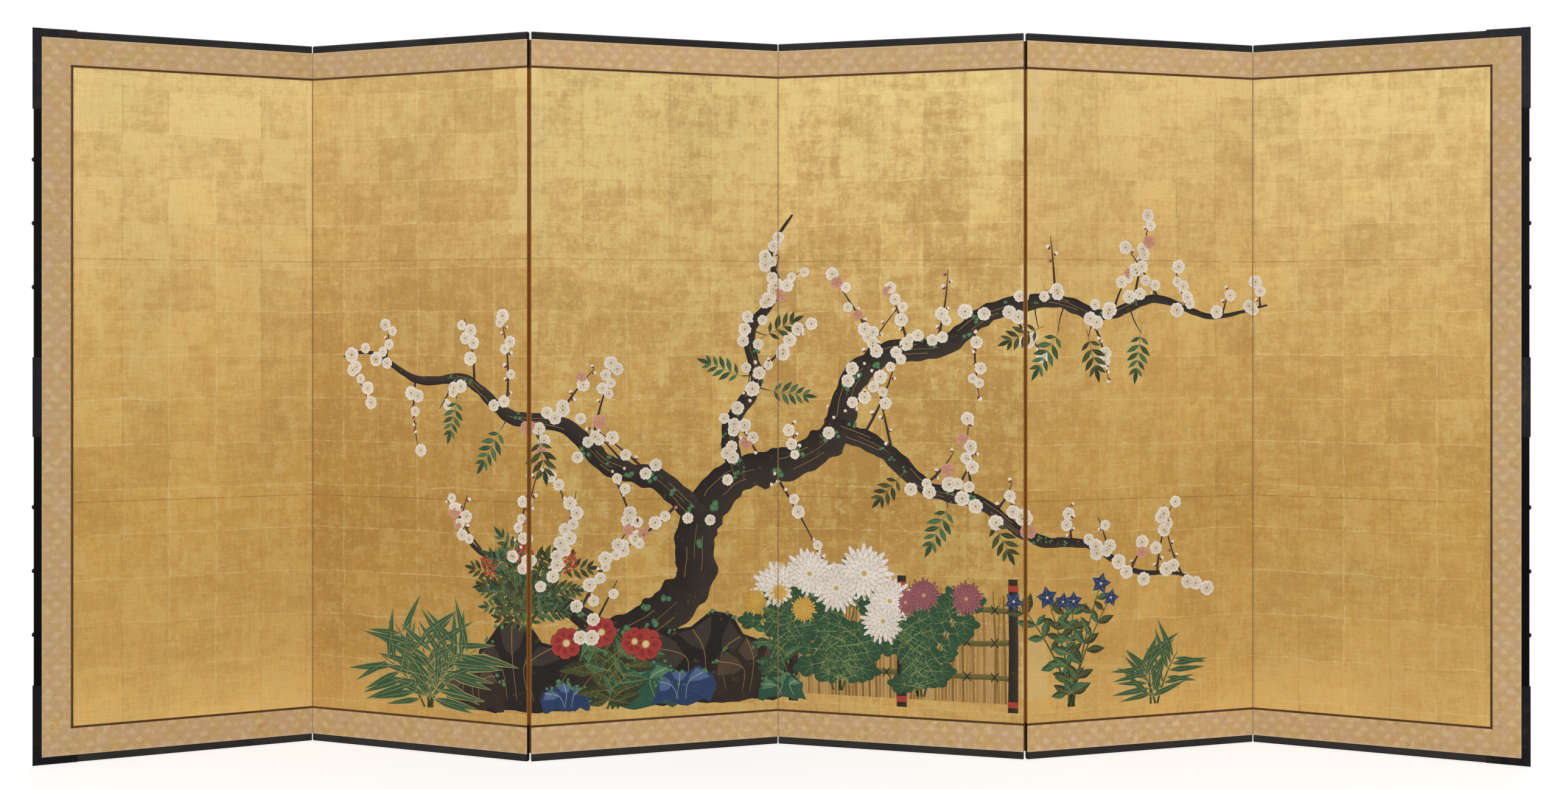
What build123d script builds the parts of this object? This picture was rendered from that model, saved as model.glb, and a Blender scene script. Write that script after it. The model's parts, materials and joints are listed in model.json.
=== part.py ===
"""Six-panel folding screen (byobu), standing in a zigzag.

Each panel is a light cedar lattice, half-lapped and closed front and back with laminated paper.
The front carries a gold-leaf sheet inside a thin inner border and a brocade border, and the back
a printed paper. Lacquered rails cap every panel and lacquered stiles close the two outer ends,
with metal fittings and dome-headed nails on them. Neighbouring panels hang on paper hinges: bands
of paper that cross the fold by turns, from one panel's face round the other panel's edge.

Row frame, in millimetres: +X to the viewer's right, -Y to the viewer, +Z up. The origin is the
centre of the footprint, on the floor. Each panel is first built flat in its own coordinates: u
runs along its width from its left edge, v from front (negative) to back, and z up from the floor.
"""

from build123d import *

import os
from math import asin, cos, radians, sin

# Overall sizes and the pose that the screen stands in
screen_height = 1720.0
panel_width = 605.0
end_panel_width = 614.0  # the two outer panels, without their lacquered stiles
panel_headings = (24.0, -21.0, 17.6, -15.5, 17.3, -23.2)  # degrees from the X axis, in plan

# Lacquered frame
frame_depth = 14.5
rail_height = 17.5
stile_width = 17.5
outer_chamfer = 2.2
inner_chamfer = 0.8
rail_end_gap = 0.9  # a rail stops this much short of a hinged edge

# Lattice core
core_depth = 10.6
core_member_width = 18.0
lattice_strip_width = 9.0
lattice_columns = 3
lattice_rows = 6
tongue_length = 6.0  # how far a strip's end is let into the core's outer members

# Papers and cloth
underlay_thickness = 0.6
sheet_thickness = 0.5
back_paper_thickness = 0.5
brocade_width = 62.5
brocade_thickness = 0.7
inner_border_width = 5.5
inner_border_thickness = 1.1

# Paper hinges
hinge_flap_width = 26.0
hinge_band_height = 340.0
hinge_band_gap = 2.0
full_hinge_bands = 4
fold_edge_gap = 0.5  # from a panel's edge to the fold's axis
fold_face_gap = 0.5  # from the frame's face to the fold's axis
fold_clearance = 0.15  # from the folding paper to the planes where its two halves meet

# Metal fittings and dome-headed nails on the outer stiles, and hidden nails in the rails
fitting_length = 186.0
fitting_arm = 77.0
fitting_wall = 2.5
fitting_flange = 0.4
nail_head_diameter = 11.0
nail_head_height = 4.5
nail_flat_count = 12
nail_head_rings = (1.0, 0.58, 0.2)  # shares of the angle from the dome's top to its rim
nail_shank_width = 2.4
nail_depth_in_core = 10.0
first_nail_from_middle = 257.0
nail_pitch = 149.0
nails_per_half = 3
rail_nail_length = 18.0
nails_per_rail = 2

# Sizes that follow
panel_count = len(panel_headings)
middle_height = screen_height / 2
half_frame = frame_depth / 2
half_core = core_depth / 2
core_bottom = rail_height
core_top = screen_height - rail_height
underlay_face = half_core + underlay_thickness
fold_axis_depth = half_frame + fold_face_gap
front_underlay = (-underlay_face, -half_core)
back_underlay = (half_core, underlay_face)


def block(u_range, v_range, z_range):
    """A box between two limits along each direction."""
    low, high = zip(u_range, v_range, z_range)
    size = [b - a for a, b in zip(low, high)]
    return Pos(*low) * Box(*size, align=(Align.MIN, Align.MIN, Align.MIN))


def plate(outline, v_range):
    """A flat plate, from its outline as (u, z) points and the depths of its two faces."""
    front, back = v_range
    face = make_face(Polyline([(u, front, z) for u, z in outline], close=True))
    return extrude(face, amount=back - front, dir=(0, 1, 0))


def even_places(start, stop, count):
    """The centres of count strips or nails spread evenly between two limits."""
    step = (stop - start) / (count + 1)
    return [start + step * (i + 1) for i in range(count)]


def about(centre, width):
    """The limits of a width laid evenly about its centre."""
    return (centre - width / 2, centre + width / 2)


def in_order(a, b):
    return (min(a, b), max(a, b))


# ---------------------------------------------------------------- panels and their edges


def is_left_end(panel):
    return panel == 0


def is_right_end(panel):
    return panel == panel_count - 1


def width_of(panel):
    return end_panel_width if is_left_end(panel) or is_right_end(panel) else panel_width


def core_sides(panel):
    """Both side edges of the core: hinged ones stand back by the thickness of the edge paper."""
    left = 0.0 if is_left_end(panel) else underlay_thickness
    right = width_of(panel) - (0.0 if is_right_end(panel) else underlay_thickness)
    return left, right


def is_valley(fold):
    """Folds alternate: the first closes face to face, the next back to back."""
    return fold % 2 == 0


def hinged_edges(panel):
    """The panel's hinged edges, as (edge, direction out of the panel, fold)."""
    edges = []
    if not is_left_end(panel):
        edges.append((0.0, -1, panel - 1))
    if not is_right_end(panel):
        edges.append((width_of(panel), 1, panel))
    return edges


# ---------------------------------------------------------------- lattice core


def core_nail_holes(panel):
    """Every nail that enters the core from the lacquered frame."""
    holes = rail_nails(panel, True) + rail_nails(panel, False)
    if is_left_end(panel):
        holes += nail_shanks(True)
    if is_right_end(panel):
        holes += nail_shanks(False)
    return holes


def lattice_core(panel):
    """Uprights and cross pieces, half-lapped so that each passes front and back by turns."""
    left, right = core_sides(panel)
    low, high = core_bottom, core_top
    member, tongue = core_member_width, core_member_width - tongue_length
    uprights = [(left, left + member)]
    uprights += [about(u, lattice_strip_width) for u in even_places(left, right, lattice_columns)]
    uprights.append((right - member, right))
    crosses = [(low, low + member)]
    crosses += [about(z, lattice_strip_width) for z in even_places(low, high, lattice_rows)]
    crosses.append((high - member, high))

    def limits(index, pieces, start, stop):
        """The length of a member that runs right through, or of a strip between its tongues."""
        is_member = index in (0, len(pieces) - 1)
        return (start, stop) if is_member else (start + tongue, stop - tongue)

    upright_spans = [limits(i, uprights, low, high) for i in range(len(uprights))]
    cross_spans = [limits(j, crosses, left, right) for j in range(len(crosses))]

    def lap(i, j, cut_from_upright):
        """Where upright i and cross piece j meet: the half that is cut from one of the two."""
        across, along = uprights[i], crosses[j]
        u_range = (max(across[0], cross_spans[j][0]), min(across[1], cross_spans[j][1]))
        z_range = (max(along[0], upright_spans[i][0]), min(along[1], upright_spans[i][1]))
        front_half = ((i + j) % 2 == 0) == cut_from_upright
        return block(u_range, (-half_core, 0.0) if front_half else (0.0, half_core), z_range)

    holes = core_nail_holes(panel)
    pieces = []
    for i, upright in enumerate(uprights):
        piece = block(upright, (-half_core, half_core), upright_spans[i])
        piece -= [lap(i, j, True) for j in range(len(crosses))]
        pieces.append(piece - holes)
    for j, cross in enumerate(crosses):
        piece = block(cross_spans[j], (-half_core, half_core), cross)
        piece -= [lap(i, j, False) for i in range(len(uprights))]
        pieces.append(piece - holes)
    return pieces


# ---------------------------------------------------------------- underlay and paper hinges


def hinge_bands():
    """Heights of the hinge bands, from the floor up: a short one at each end, full ones between."""
    end_band = (core_top - core_bottom - full_hinge_bands * hinge_band_height) / 2
    seams = [core_bottom + end_band + hinge_band_height * i for i in range(full_hinge_bands + 1)]
    limits = [core_bottom] + seams + [core_top]
    gap = hinge_band_gap / 2
    return [(low + gap, high - gap) for low, high in zip(limits, limits[1:])]


def starts_on_face(band, outward):
    """True where this panel's end of the band lies on its face, and the other goes round."""
    return (band % 2 == 0) == (outward > 0)


def flap_on(edge, outward):
    """The width that a hinge flap covers on a panel's face."""
    return in_order(edge, edge - outward * hinge_flap_width)


def paper_on(edge, outward):
    """The width that the paper on a panel's edge takes."""
    return in_order(edge, edge - outward * underlay_thickness)


def axis_side(fold):
    """The side of the panels that the fold's axis lies on: -1 in front, 1 behind."""
    return -1 if is_valley(fold) else 1


def flap_depth(fold, on_face):
    """The underlay that a flap lies in: the one by the fold's axis, or the one away from it."""
    by_axis = axis_side(fold) if on_face else -axis_side(fold)
    return front_underlay if by_axis < 0 else back_underlay


def edge_depth(fold, on_face):
    """The depth of the paper on an edge; a flap that starts on the face takes its near corner."""
    near = half_core if on_face else underlay_face
    return in_order(axis_side(fold) * near, -axis_side(fold) * underlay_face)


def crossing_web(edge, outward, fold, heights):
    """The half of a band's crossing that turns with this panel, from its edge up to the axis."""
    width = in_order(edge, edge + outward * (fold_edge_gap - fold_clearance))
    depth = in_order(axis_side(fold) * half_core, axis_side(fold) * (fold_axis_depth - fold_clearance))
    return block(width, depth, heights)


def hinge_papers(panel):
    """This panel's halves of the hinge bands: flat flaps, and flaps that go round its edges."""
    pieces = []
    for edge, outward, fold in hinged_edges(panel):
        for band, heights in enumerate(hinge_bands()):
            on_face = starts_on_face(band, outward)
            piece = block(flap_on(edge, outward), flap_depth(fold, on_face), heights)
            piece += crossing_web(edge, outward, fold, heights)
            if not on_face:
                piece += block(paper_on(edge, outward), edge_depth(fold, on_face), heights)
            pieces.append(piece)
    return pieces


def underlay(panel):
    """Laminated paper on both faces, notched for the hinge flaps, and strips on bare edges."""
    heights = (core_bottom, core_top)
    sheets = {side: block(core_sides(panel), side, heights) for side in (front_underlay, back_underlay)}
    strips = []
    for edge, outward, fold in hinged_edges(panel):
        for band, heights in enumerate(hinge_bands()):
            on_face = starts_on_face(band, outward)
            side = flap_depth(fold, on_face)
            sheets[side] -= block(flap_on(edge, outward), side, heights)
            if on_face:
                strips.append(block(paper_on(edge, outward), edge_depth(fold, on_face), heights))
    return list(sheets.values()) + strips


# ---------------------------------------------------------------- picture, borders and back


def on_front(thickness):
    """The depth of a layer laid on the front underlay."""
    return (-underlay_face - thickness, -underlay_face)


def border_outlines(panel, outer, inner):
    """Strips of a border between two distances from the frame, mitred at the screen's corners."""
    left = (outer, inner) if is_left_end(panel) else (0.0, 0.0)
    width = width_of(panel)
    right = (width - outer, width - inner) if is_right_end(panel) else (width, width)
    bottom = (core_bottom + outer, core_bottom + inner)
    top = (core_top - outer, core_top - inner)

    def strip(sides):
        """One strip: its outer edge, then its inner edge, from two (u, z) ends each."""
        (start_u, start_z), (end_u, end_z) = sides
        outer_edge = [(start_u[0], start_z[0]), (end_u[0], end_z[0])]
        inner_edge = [(start_u[1], start_z[1]), (end_u[1], end_z[1])]
        return outer_edge + inner_edge[::-1]

    outlines = [strip([(left, top), (right, top)]), strip([(left, bottom), (right, bottom)])]
    if is_left_end(panel):
        outlines.append(strip([(left, bottom), (left, top)]))
    if is_right_end(panel):
        outlines.append(strip([(right, bottom), (right, top)]))
    return outlines


def brocade_border(panel):
    """Silk brocade between the lacquered frame and the inner border."""
    outlines = border_outlines(panel, 0.0, brocade_width)
    return [plate(outline, on_front(brocade_thickness)) for outline in outlines]


def inner_border(panel):
    """The narrow dark strip between the brocade and the picture."""
    outlines = border_outlines(panel, brocade_width, brocade_width + inner_border_width)
    return [plate(outline, on_front(inner_border_thickness)) for outline in outlines]


def gold_leaf_sheet(panel):
    """The picture's paper inside the borders; it runs on across the hinged edges."""
    margin = brocade_width + inner_border_width
    left = margin if is_left_end(panel) else 0.0
    right = width_of(panel) - (margin if is_right_end(panel) else 0.0)
    return [block((left, right), on_front(sheet_thickness), (core_bottom + margin, core_top - margin))]


def back_paper(panel):
    """The printed paper over the whole back."""
    depth = (underlay_face, underlay_face + back_paper_thickness)
    return [block((0.0, width_of(panel)), depth, (core_bottom, core_top))]


# ---------------------------------------------------------------- lacquered frame


def frame_section(width, depth):
    """A frame member's section, as (distance out from its seat, depth) points."""
    half = depth / 2
    return [
        (inner_chamfer, -half),
        (width - outer_chamfer, -half),
        (width, -half + outer_chamfer),
        (width, half - outer_chamfer),
        (width - outer_chamfer, half),
        (inner_chamfer, half),
        (0.0, half - inner_chamfer),
        (0.0, -half + inner_chamfer),
    ]


def rail_bar(section, u_range, top):
    """A bar along u that sits on the core's top, or that the core stands on."""
    start, stop = u_range
    places = [(start, v, core_top + out if top else core_bottom - out) for out, v in section]
    face = make_face(Polyline(places, close=True))
    return extrude(face, amount=stop - start, dir=(1, 0, 0))


def stile_bar(section, z_range, left):
    """A bar along z on the screen's left or right end."""
    start, stop = z_range
    places = [(-out if left else end_panel_width + out, v, start) for out, v in section]
    face = make_face(Polyline(places, close=True))
    return extrude(face, amount=stop - start, dir=(0, 0, 1))


def rail(panel, top):
    """A lacquered rail, mitred where it meets an end stile and cut square at a hinged edge."""
    seat, outside = (core_top, screen_height) if top else (core_bottom, 0.0)
    width = width_of(panel)
    left = (0.0, -stile_width) if is_left_end(panel) else (rail_end_gap, rail_end_gap)
    right = (width - rail_end_gap, width - rail_end_gap)
    if is_right_end(panel):
        right = (width, width + stile_width)
    bar = rail_bar(frame_section(rail_height, frame_depth), (left[1], right[1]), top)
    ends = [(left[0], seat), (right[0], seat), (right[1], outside), (left[1], outside)]
    return (bar & plate(ends, (-half_frame, half_frame))) - rail_nails(panel, top)


def rail_nails(panel, top):
    """Headless nails, half their length in the rail and half in the core."""
    seat = core_top if top else core_bottom
    heights = about(seat, rail_nail_length)
    places = even_places(*core_sides(panel), nails_per_rail)
    shank = about(0.0, nail_shank_width)
    return [block(about(u, nail_shank_width), shank, heights) for u in places]


def end_stile(left):
    """A lacquered end stile, mitred to both rails, with a square hole for each nail."""
    bar = stile_bar(frame_section(stile_width, frame_depth), (0.0, screen_height), left)
    seat, outside = (0.0, -stile_width) if left else (end_panel_width, end_panel_width + stile_width)
    ends = [(seat, core_bottom), (outside, 0.0), (outside, screen_height), (seat, core_top)]
    return (bar & plate(ends, (-half_frame, half_frame))) - nail_shanks(left)


# ---------------------------------------------------------------- nails and metal fittings


def nail_heights():
    """Heights of the dome-headed nails, alike above and below the middle of the stile."""
    offsets = [first_nail_from_middle + nail_pitch * i for i in range(nails_per_half)]
    return [middle_height + side * offset for side in (-1, 1) for offset in offsets]


def nail_shanks(left):
    """The nails' square shanks, from the stile's outer face into the core."""
    outside, tip = -stile_width, nail_depth_in_core
    if not left:
        outside, tip = end_panel_width - outside, end_panel_width - tip
    shank = about(0.0, nail_shank_width)
    return [block(in_order(outside, tip), shank, about(z, nail_shank_width)) for z in nail_heights()]


def nail_head():
    """A forged dome with flats, lofted through rings on a ball, its underside on the XY plane."""
    radius = nail_head_diameter / 2
    ball_radius = (radius**2 + nail_head_height**2) / (2 * nail_head_height)
    rim_angle = asin(radius / ball_radius)
    rings = []
    for share in nail_head_rings:
        angle = rim_angle * share
        height = ball_radius * cos(angle) - ball_radius + nail_head_height
        rings.append(Pos(0, 0, height) * RegularPolygon(ball_radius * sin(angle), nail_flat_count))
    return loft(rings, ruled=True)


def dome_nails(left):
    """The row of dome-headed nails that hold an end stile to the core."""
    outside = -stile_width if left else end_panel_width + stile_width
    turn = Rot(0, -90 if left else 90, 0)
    shanks = nail_shanks(left)
    return [Pos(outside, 0, z) * turn * nail_head() + shank for z, shank in zip(nail_heights(), shanks)]


def corner_fitting(left, top):
    """A folded cap over an outer corner; the bottom one leaves the rail's underside bare."""
    section = frame_section(stile_width + fitting_wall, frame_depth + 2 * fitting_flange)
    outside = stile_width + fitting_wall
    arm = (-outside, fitting_arm)
    if not left:
        arm = (end_panel_width - fitting_arm, end_panel_width + outside)
    upright = (0.0, fitting_length)
    if top:
        upright = (screen_height - fitting_length, screen_height + fitting_wall)
    shell = stile_bar(section, upright, left)
    section = frame_section(rail_height + fitting_wall, frame_depth + 2 * fitting_flange)
    shell += rail_bar(section, arm, top)
    shell &= block(arm, (-frame_depth, frame_depth), (0.0, screen_height + fitting_wall))
    shell -= stile_bar(frame_section(stile_width, frame_depth), (0.0, screen_height), left)
    return shell - rail_bar(frame_section(rail_height, frame_depth), arm_inside(arm, left), top)


def arm_inside(arm, left):
    """The rail's stretch under a corner fitting's arm, up to the stile's outer face."""
    return (-stile_width, arm[1]) if left else (arm[0], end_panel_width + stile_width)


def middle_fitting(left):
    """A metal channel round the middle of a stile."""
    heights = about(middle_height, fitting_length)
    section = frame_section(stile_width + fitting_wall, frame_depth + 2 * fitting_flange)
    shell = stile_bar(section, heights, left)
    return shell - stile_bar(frame_section(stile_width, frame_depth), heights, left)


def stile_fittings(left):
    return [corner_fitting(left, True), middle_fitting(left), corner_fitting(left, False)]


# ---------------------------------------------------------------- the standing screen


def in_plan(heading, u, v):
    """A panel's own (u, v) direction, turned to the panel's heading in plan."""
    angle = radians(heading)
    return (u * cos(angle) - v * sin(angle), u * sin(angle) + v * cos(angle))


def plan_of_screen():
    """Plan places of each panel's left edge and of each fold's axis, from the first panel on."""
    corners = [(0.0, 0.0)]
    axes = []
    for fold in range(panel_count - 1):
        depth = axis_side(fold) * fold_axis_depth
        reach = in_plan(panel_headings[fold], width_of(fold) + fold_edge_gap, depth)
        back = in_plan(panel_headings[fold + 1], -fold_edge_gap, depth)
        axis = (corners[-1][0] + reach[0], corners[-1][1] + reach[1])
        axes.append(axis)
        corners.append((axis[0] - back[0], axis[1] - back[1]))
    return corners, axes


def panel_nodes(panel):
    """Every node of one panel, by name, in the panel's own coordinates."""
    name = f"panel_{panel + 1}_"
    nodes = {
        name + "lattice_core": lattice_core(panel),
        name + "underlay": underlay(panel),
        name + "hinge_papers": hinge_papers(panel),
        name + "gold_leaf_sheet": gold_leaf_sheet(panel),
        name + "inner_border": inner_border(panel),
        name + "brocade_border": brocade_border(panel),
        name + "back_paper": back_paper(panel),
        name + "top_rail": [rail(panel, True)] + rail_nails(panel, True),
        name + "bottom_rail": [rail(panel, False)] + rail_nails(panel, False),
    }
    ends = {"left": is_left_end(panel), "right": is_right_end(panel)}
    for side in [side for side, is_end in ends.items() if is_end]:
        nodes[side + "_stile"] = [end_stile(side == "left")]
        nodes[side + "_stile_nails"] = dome_nails(side == "left")
        nodes[side + "_stile_fittings"] = stile_fittings(side == "left")
    return nodes


def folding_screen():
    """Every panel's nodes in the row frame, and the fold axes in plan."""
    corners, axes = plan_of_screen()
    panels = []
    for panel, corner in enumerate(corners):
        place = Pos(*corner, 0) * Rot(0, 0, panel_headings[panel])
        nodes = panel_nodes(panel).items()
        panels.append({name: [place * s for p in pieces for s in p.solids()] for name, pieces in nodes})
    every_solid = [solid for nodes in panels for solids in nodes.values() for solid in solids]
    middle = Compound(every_solid).bounding_box().center()
    shift = Pos(-middle.X, -middle.Y, 0)
    for nodes in panels:
        for name, solids in nodes.items():
            nodes[name] = Compound([shift * solid for solid in solids])
    return panels, [(x - middle.X, y - middle.Y) for x, y in axes]


panels, fold_axes = folding_screen()
os.makedirs("parts", exist_ok=True)
for nodes in panels:
    for name, shape in nodes.items():
        export_step(shape, f"parts/{name}.step")
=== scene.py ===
import json
import math
import random
from functools import partial

import bmesh
import bpy
from mathutils import Matrix, Vector, noise

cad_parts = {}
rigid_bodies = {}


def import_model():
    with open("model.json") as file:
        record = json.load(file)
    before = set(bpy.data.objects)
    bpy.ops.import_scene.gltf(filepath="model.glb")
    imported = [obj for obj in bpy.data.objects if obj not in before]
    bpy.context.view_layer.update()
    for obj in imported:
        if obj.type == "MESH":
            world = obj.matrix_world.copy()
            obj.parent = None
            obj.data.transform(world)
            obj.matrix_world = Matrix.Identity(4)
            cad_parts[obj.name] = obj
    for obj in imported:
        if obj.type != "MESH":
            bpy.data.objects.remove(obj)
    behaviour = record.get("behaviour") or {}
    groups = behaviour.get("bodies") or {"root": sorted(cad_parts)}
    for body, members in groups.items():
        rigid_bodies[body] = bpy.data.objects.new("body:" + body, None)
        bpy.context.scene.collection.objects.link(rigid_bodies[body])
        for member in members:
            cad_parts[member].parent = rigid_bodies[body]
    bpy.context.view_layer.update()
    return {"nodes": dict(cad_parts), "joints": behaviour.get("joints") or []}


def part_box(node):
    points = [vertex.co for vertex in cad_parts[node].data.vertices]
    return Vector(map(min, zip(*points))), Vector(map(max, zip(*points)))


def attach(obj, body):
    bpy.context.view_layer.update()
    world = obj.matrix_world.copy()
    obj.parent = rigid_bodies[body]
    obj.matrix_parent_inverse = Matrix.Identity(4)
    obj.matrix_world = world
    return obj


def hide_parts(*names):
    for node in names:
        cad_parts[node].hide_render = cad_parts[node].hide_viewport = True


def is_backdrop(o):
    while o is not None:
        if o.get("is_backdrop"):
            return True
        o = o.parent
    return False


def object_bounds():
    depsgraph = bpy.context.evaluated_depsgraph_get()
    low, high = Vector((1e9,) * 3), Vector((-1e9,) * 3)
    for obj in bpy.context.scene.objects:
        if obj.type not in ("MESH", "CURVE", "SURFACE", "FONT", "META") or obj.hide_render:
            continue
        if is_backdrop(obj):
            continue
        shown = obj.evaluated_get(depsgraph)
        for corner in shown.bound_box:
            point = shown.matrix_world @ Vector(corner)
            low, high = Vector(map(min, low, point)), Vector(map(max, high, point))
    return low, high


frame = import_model()
nodes = frame["nodes"]

# ---------------------------------------------------------------------------------------------
# The six panels. Each is a cedar lattice with paper on both faces, and stands at its own angle.
# Where a panel stands is read from its gold leaf sheet, whose face is the picture's ground.

PANELS = range(1, 7)
EDGE_SPREAD = 0.005


def ground_corners(number):
    """The lower ends of the gold leaf's front face, left and right, on the floor plan."""
    plan = [vertex.co.xy for vertex in nodes[f"panel_{number}_gold_leaf_sheet"].data.vertices]
    left = min(point.x for point in plan)
    right = max(point.x for point in plan)
    ends = [[point for point in plan if abs(point.x - end) < EDGE_SPREAD] for end in (left, right)]
    run = (ends[1][0] - ends[0][0]).normalized()
    inward = Vector((-run.y, run.x))
    return [min(end, key=lambda point: point.dot(inward)) for end in ends]


def standing_at(number):
    """Takes a place on a panel's picture (along, into the panel, up) to the room."""
    left, right = ground_corners(number)
    run = (right - left).normalized()
    return Matrix(((run.x, -run.y, 0, left.x), (run.y, run.x, 0, left.y), (0, 0, 1, 0), (0, 0, 0, 1)))


place = {number: standing_at(number) for number in PANELS}
picture_width = {
    number: (ground_corners(number)[1] - ground_corners(number)[0]).length for number in PANELS
}
picture_start = {number: sum(picture_width[n] for n in range(1, number)) for number in PANELS}
picture_end = picture_start[6] + picture_width[6]
picture_foot, picture_head = (corner.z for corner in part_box("panel_1_gold_leaf_sheet"))

# ---------------------------------------------------------------------------------------------
# The camera stands level, about 4.2 m in front of the screen and 1 m above the floor.

CAMERA_PLACE = (0.0671, -4.2449, 1.0111)
SENSOR_WIDTH = 36.0
FOCAL_PIXELS = 2900
FRAME_PIXELS = 2576
SHIFT_PIXELS = (-42.1, -102.1)

camera_data = bpy.data.cameras.new("camera")
camera_data.sensor_width = SENSOR_WIDTH
camera_data.lens = SENSOR_WIDTH * FOCAL_PIXELS / FRAME_PIXELS
camera_data.shift_x, camera_data.shift_y = (shift / FRAME_PIXELS for shift in SHIFT_PIXELS)
camera = bpy.data.objects.new("camera", camera_data)
camera.location = CAMERA_PLACE
camera.rotation_euler = (math.radians(90), 0, 0)
bpy.context.scene.collection.objects.link(camera)
bpy.context.scene.camera = camera
bpy.context.scene.view_settings.view_transform = "Standard"

# ---------------------------------------------------------------------------------------------
# The studio: a pale floor, white surroundings and two broad soft lamps. The surroundings are full
# white where they are seen or mirrored, and dimmer as a light, so that colours keep their level.

FLOOR_HALF_SIDE = 60.0
FLOOR_LIFT = 0.60
SURROUNDING_LIGHT = 0.66
LAMPS = [("key", 1.42, 50, (-50, 0, -6)), ("rear", 0.75, 60, (-52, 0, 160))]


def colour(code):
    """Linear RGBA of an sRGB hex colour."""
    channels = [int(code[at:at + 2], 16) / 255 for at in (1, 3, 5)]
    return tuple(c / 12.92 if c <= 0.04045 else ((c + 0.055) / 1.055) ** 2.4 for c in channels) + (1.0,)


def feed(node, *values, **named):
    """Links or sets a node's inputs, in order or by name. A node as a value stands for its result."""
    pairs = list(zip([socket for socket in node.inputs if socket.enabled], values))
    pairs += [(node.inputs[name.replace("_", " ")], value) for name, value in named.items()]
    for socket, value in pairs:
        if isinstance(value, bpy.types.Node):
            value = next(result for result in value.outputs if result.enabled)
        if isinstance(value, bpy.types.NodeSocket):
            node.id_data.links.new(value, socket)
        else:
            socket.default_value = value


def add(tree, kind, *values, **named):
    """Adds a node, such as "Math ADD". Names with a capital are inputs, and the others settings."""
    kind, _, operation = kind.partition(" ")
    made = tree.nodes.new(kind if "Node" in kind else "ShaderNode" + kind)
    if operation:
        made.operation = operation
    for name in [name for name in named if name.islower()]:
        setattr(made, name, named.pop(name))
    feed(made, *values, **named)
    return made


def mesh_object(name, points, faces):
    """A new object at the origin with its place in its mesh."""
    mesh = bpy.data.meshes.new(name)
    mesh.from_pydata(points, [], faces)
    mesh.update()
    made = bpy.data.objects.new(name, mesh)
    bpy.context.scene.collection.objects.link(made)
    return made


def emptied_tree(owner):
    """The owner's node tree with nothing in it."""
    owner.use_nodes = True
    owner.node_tree.nodes.clear()
    return owner.node_tree


floor_paint = bpy.data.materials.new("pale floor")
put = partial(add, emptied_tree(floor_paint))
lift = put("Math MULTIPLY", put("LightPath").outputs["Is Camera Ray"], FLOOR_LIFT)
glow = put("Emission", colour("#ffffff"), lift)
put("OutputMaterial", put("AddShader", put("BsdfDiffuse", colour("#c2c2c4")), glow))

side = FLOOR_HALF_SIDE
corners = [(-side, -side, 0), (side, -side, 0), (side, side, 0), (-side, side, 0)]
floor = mesh_object("floor", corners, [(0, 1, 2, 3)])
floor.data.materials.append(floor_paint)
floor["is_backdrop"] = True

surroundings = bpy.data.worlds.new("white surroundings")
bpy.context.scene.world = surroundings
put = partial(add, emptied_tree(surroundings))
seen = put("LightPath").outputs
white = put("Math MAXIMUM", seen["Is Camera Ray"], seen["Is Glossy Ray"])
white = put("Math MAXIMUM", white, seen["Is Transmission Ray"])
level = put("MapRange", white, To_Min=SURROUNDING_LIGHT)
put("OutputWorld", put("Background", colour("#ffffff"), level))

for name, strength, spread, turn in LAMPS:
    lamp = bpy.data.lights.new(name, "SUN")
    lamp.energy = strength
    lamp.angle = math.radians(spread)
    holder = bpy.data.objects.new(name, lamp)
    holder.rotation_euler = [math.radians(angle) for angle in turn]
    bpy.context.scene.collection.objects.link(holder)

# ---------------------------------------------------------------------------------------------
# The picture's ground: squares of beaten gold leaf on paper, laid by hand with narrow overlaps.
# Where two leaves overlap the gold is brighter, and rubbing has thinned it to the brown below.

LEAF_SIDE = 106.0
PAPER_JOINS = (610.0, 1185.0)
# Painted light and shade: each panel's gold is made lighter or darker for the way the panel faces the lamps.
PANEL_PAINTED_LIGHT = {
    1: (1.19, 1.21, 1.24), 2: (0.94, 0.89, 0.82), 3: (1.09, 1.10, 1.11),
    4: (0.96, 0.945, 0.925), 5: (1.155, 1.145, 1.15), 6: (1.05, 1.055, 1.08),
}
PANEL_WEAR = {1: 0.80, 2: 0.72, 3: 1.15, 4: 1.0, 5: 0.80, 6: 0.72}
FOLD_AT = {number: picture_start[number] * 1000 for number in range(2, 7)}
# Each mend's middle and half size, along and up.
MENDS = [
    (FOLD_AT[3], 26, 1450, 190), (FOLD_AT[3] - 22, 22, 1290, 46), (FOLD_AT[4] - 4, 16, 330, 120),
    (FOLD_AT[5] - 44, 44, 1540, 120), (FOLD_AT[5] + 12, 26, 1560, 90), (FOLD_AT[5] + 14, 22, 1080, 90),
    (FOLD_AT[5] + 24, 30, 210, 70),
]


def new_group(kind, name, inputs, outputs):
    """A node group with its sockets by name and type, the values it is given, and its result."""
    group = bpy.data.node_groups.new(name, kind + "NodeTree")
    for way, sockets in (("INPUT", inputs), ("OUTPUT", outputs)):
        for socket, value in sockets.items():
            group.interface.new_socket(socket, in_out=way, socket_type="NodeSocket" + value)
    return group, group.nodes.new("NodeGroupInput").outputs, group.nodes.new("NodeGroupOutput")


def swayed(put, spot, reach, *grain):
    """A place moved to and fro by a noise of the given scale, detail and roughness."""
    sway = put("VectorMath SUBTRACT", put("TexNoise", spot, *grain).outputs["Color"], (0.5, 0.5, 0.5))
    return put("VectorMath MULTIPLY_ADD", sway, reach, spot)


def stretched(put, spot, stretch, shift, detail, roughness):
    """A noise drawn out along one way, and shifted apart from the others."""
    lines = put("VectorMath MULTIPLY_ADD", spot, stretch, (shift, shift, shift))
    return put("TexNoise", lines, 1.0, detail, roughness)


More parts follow.
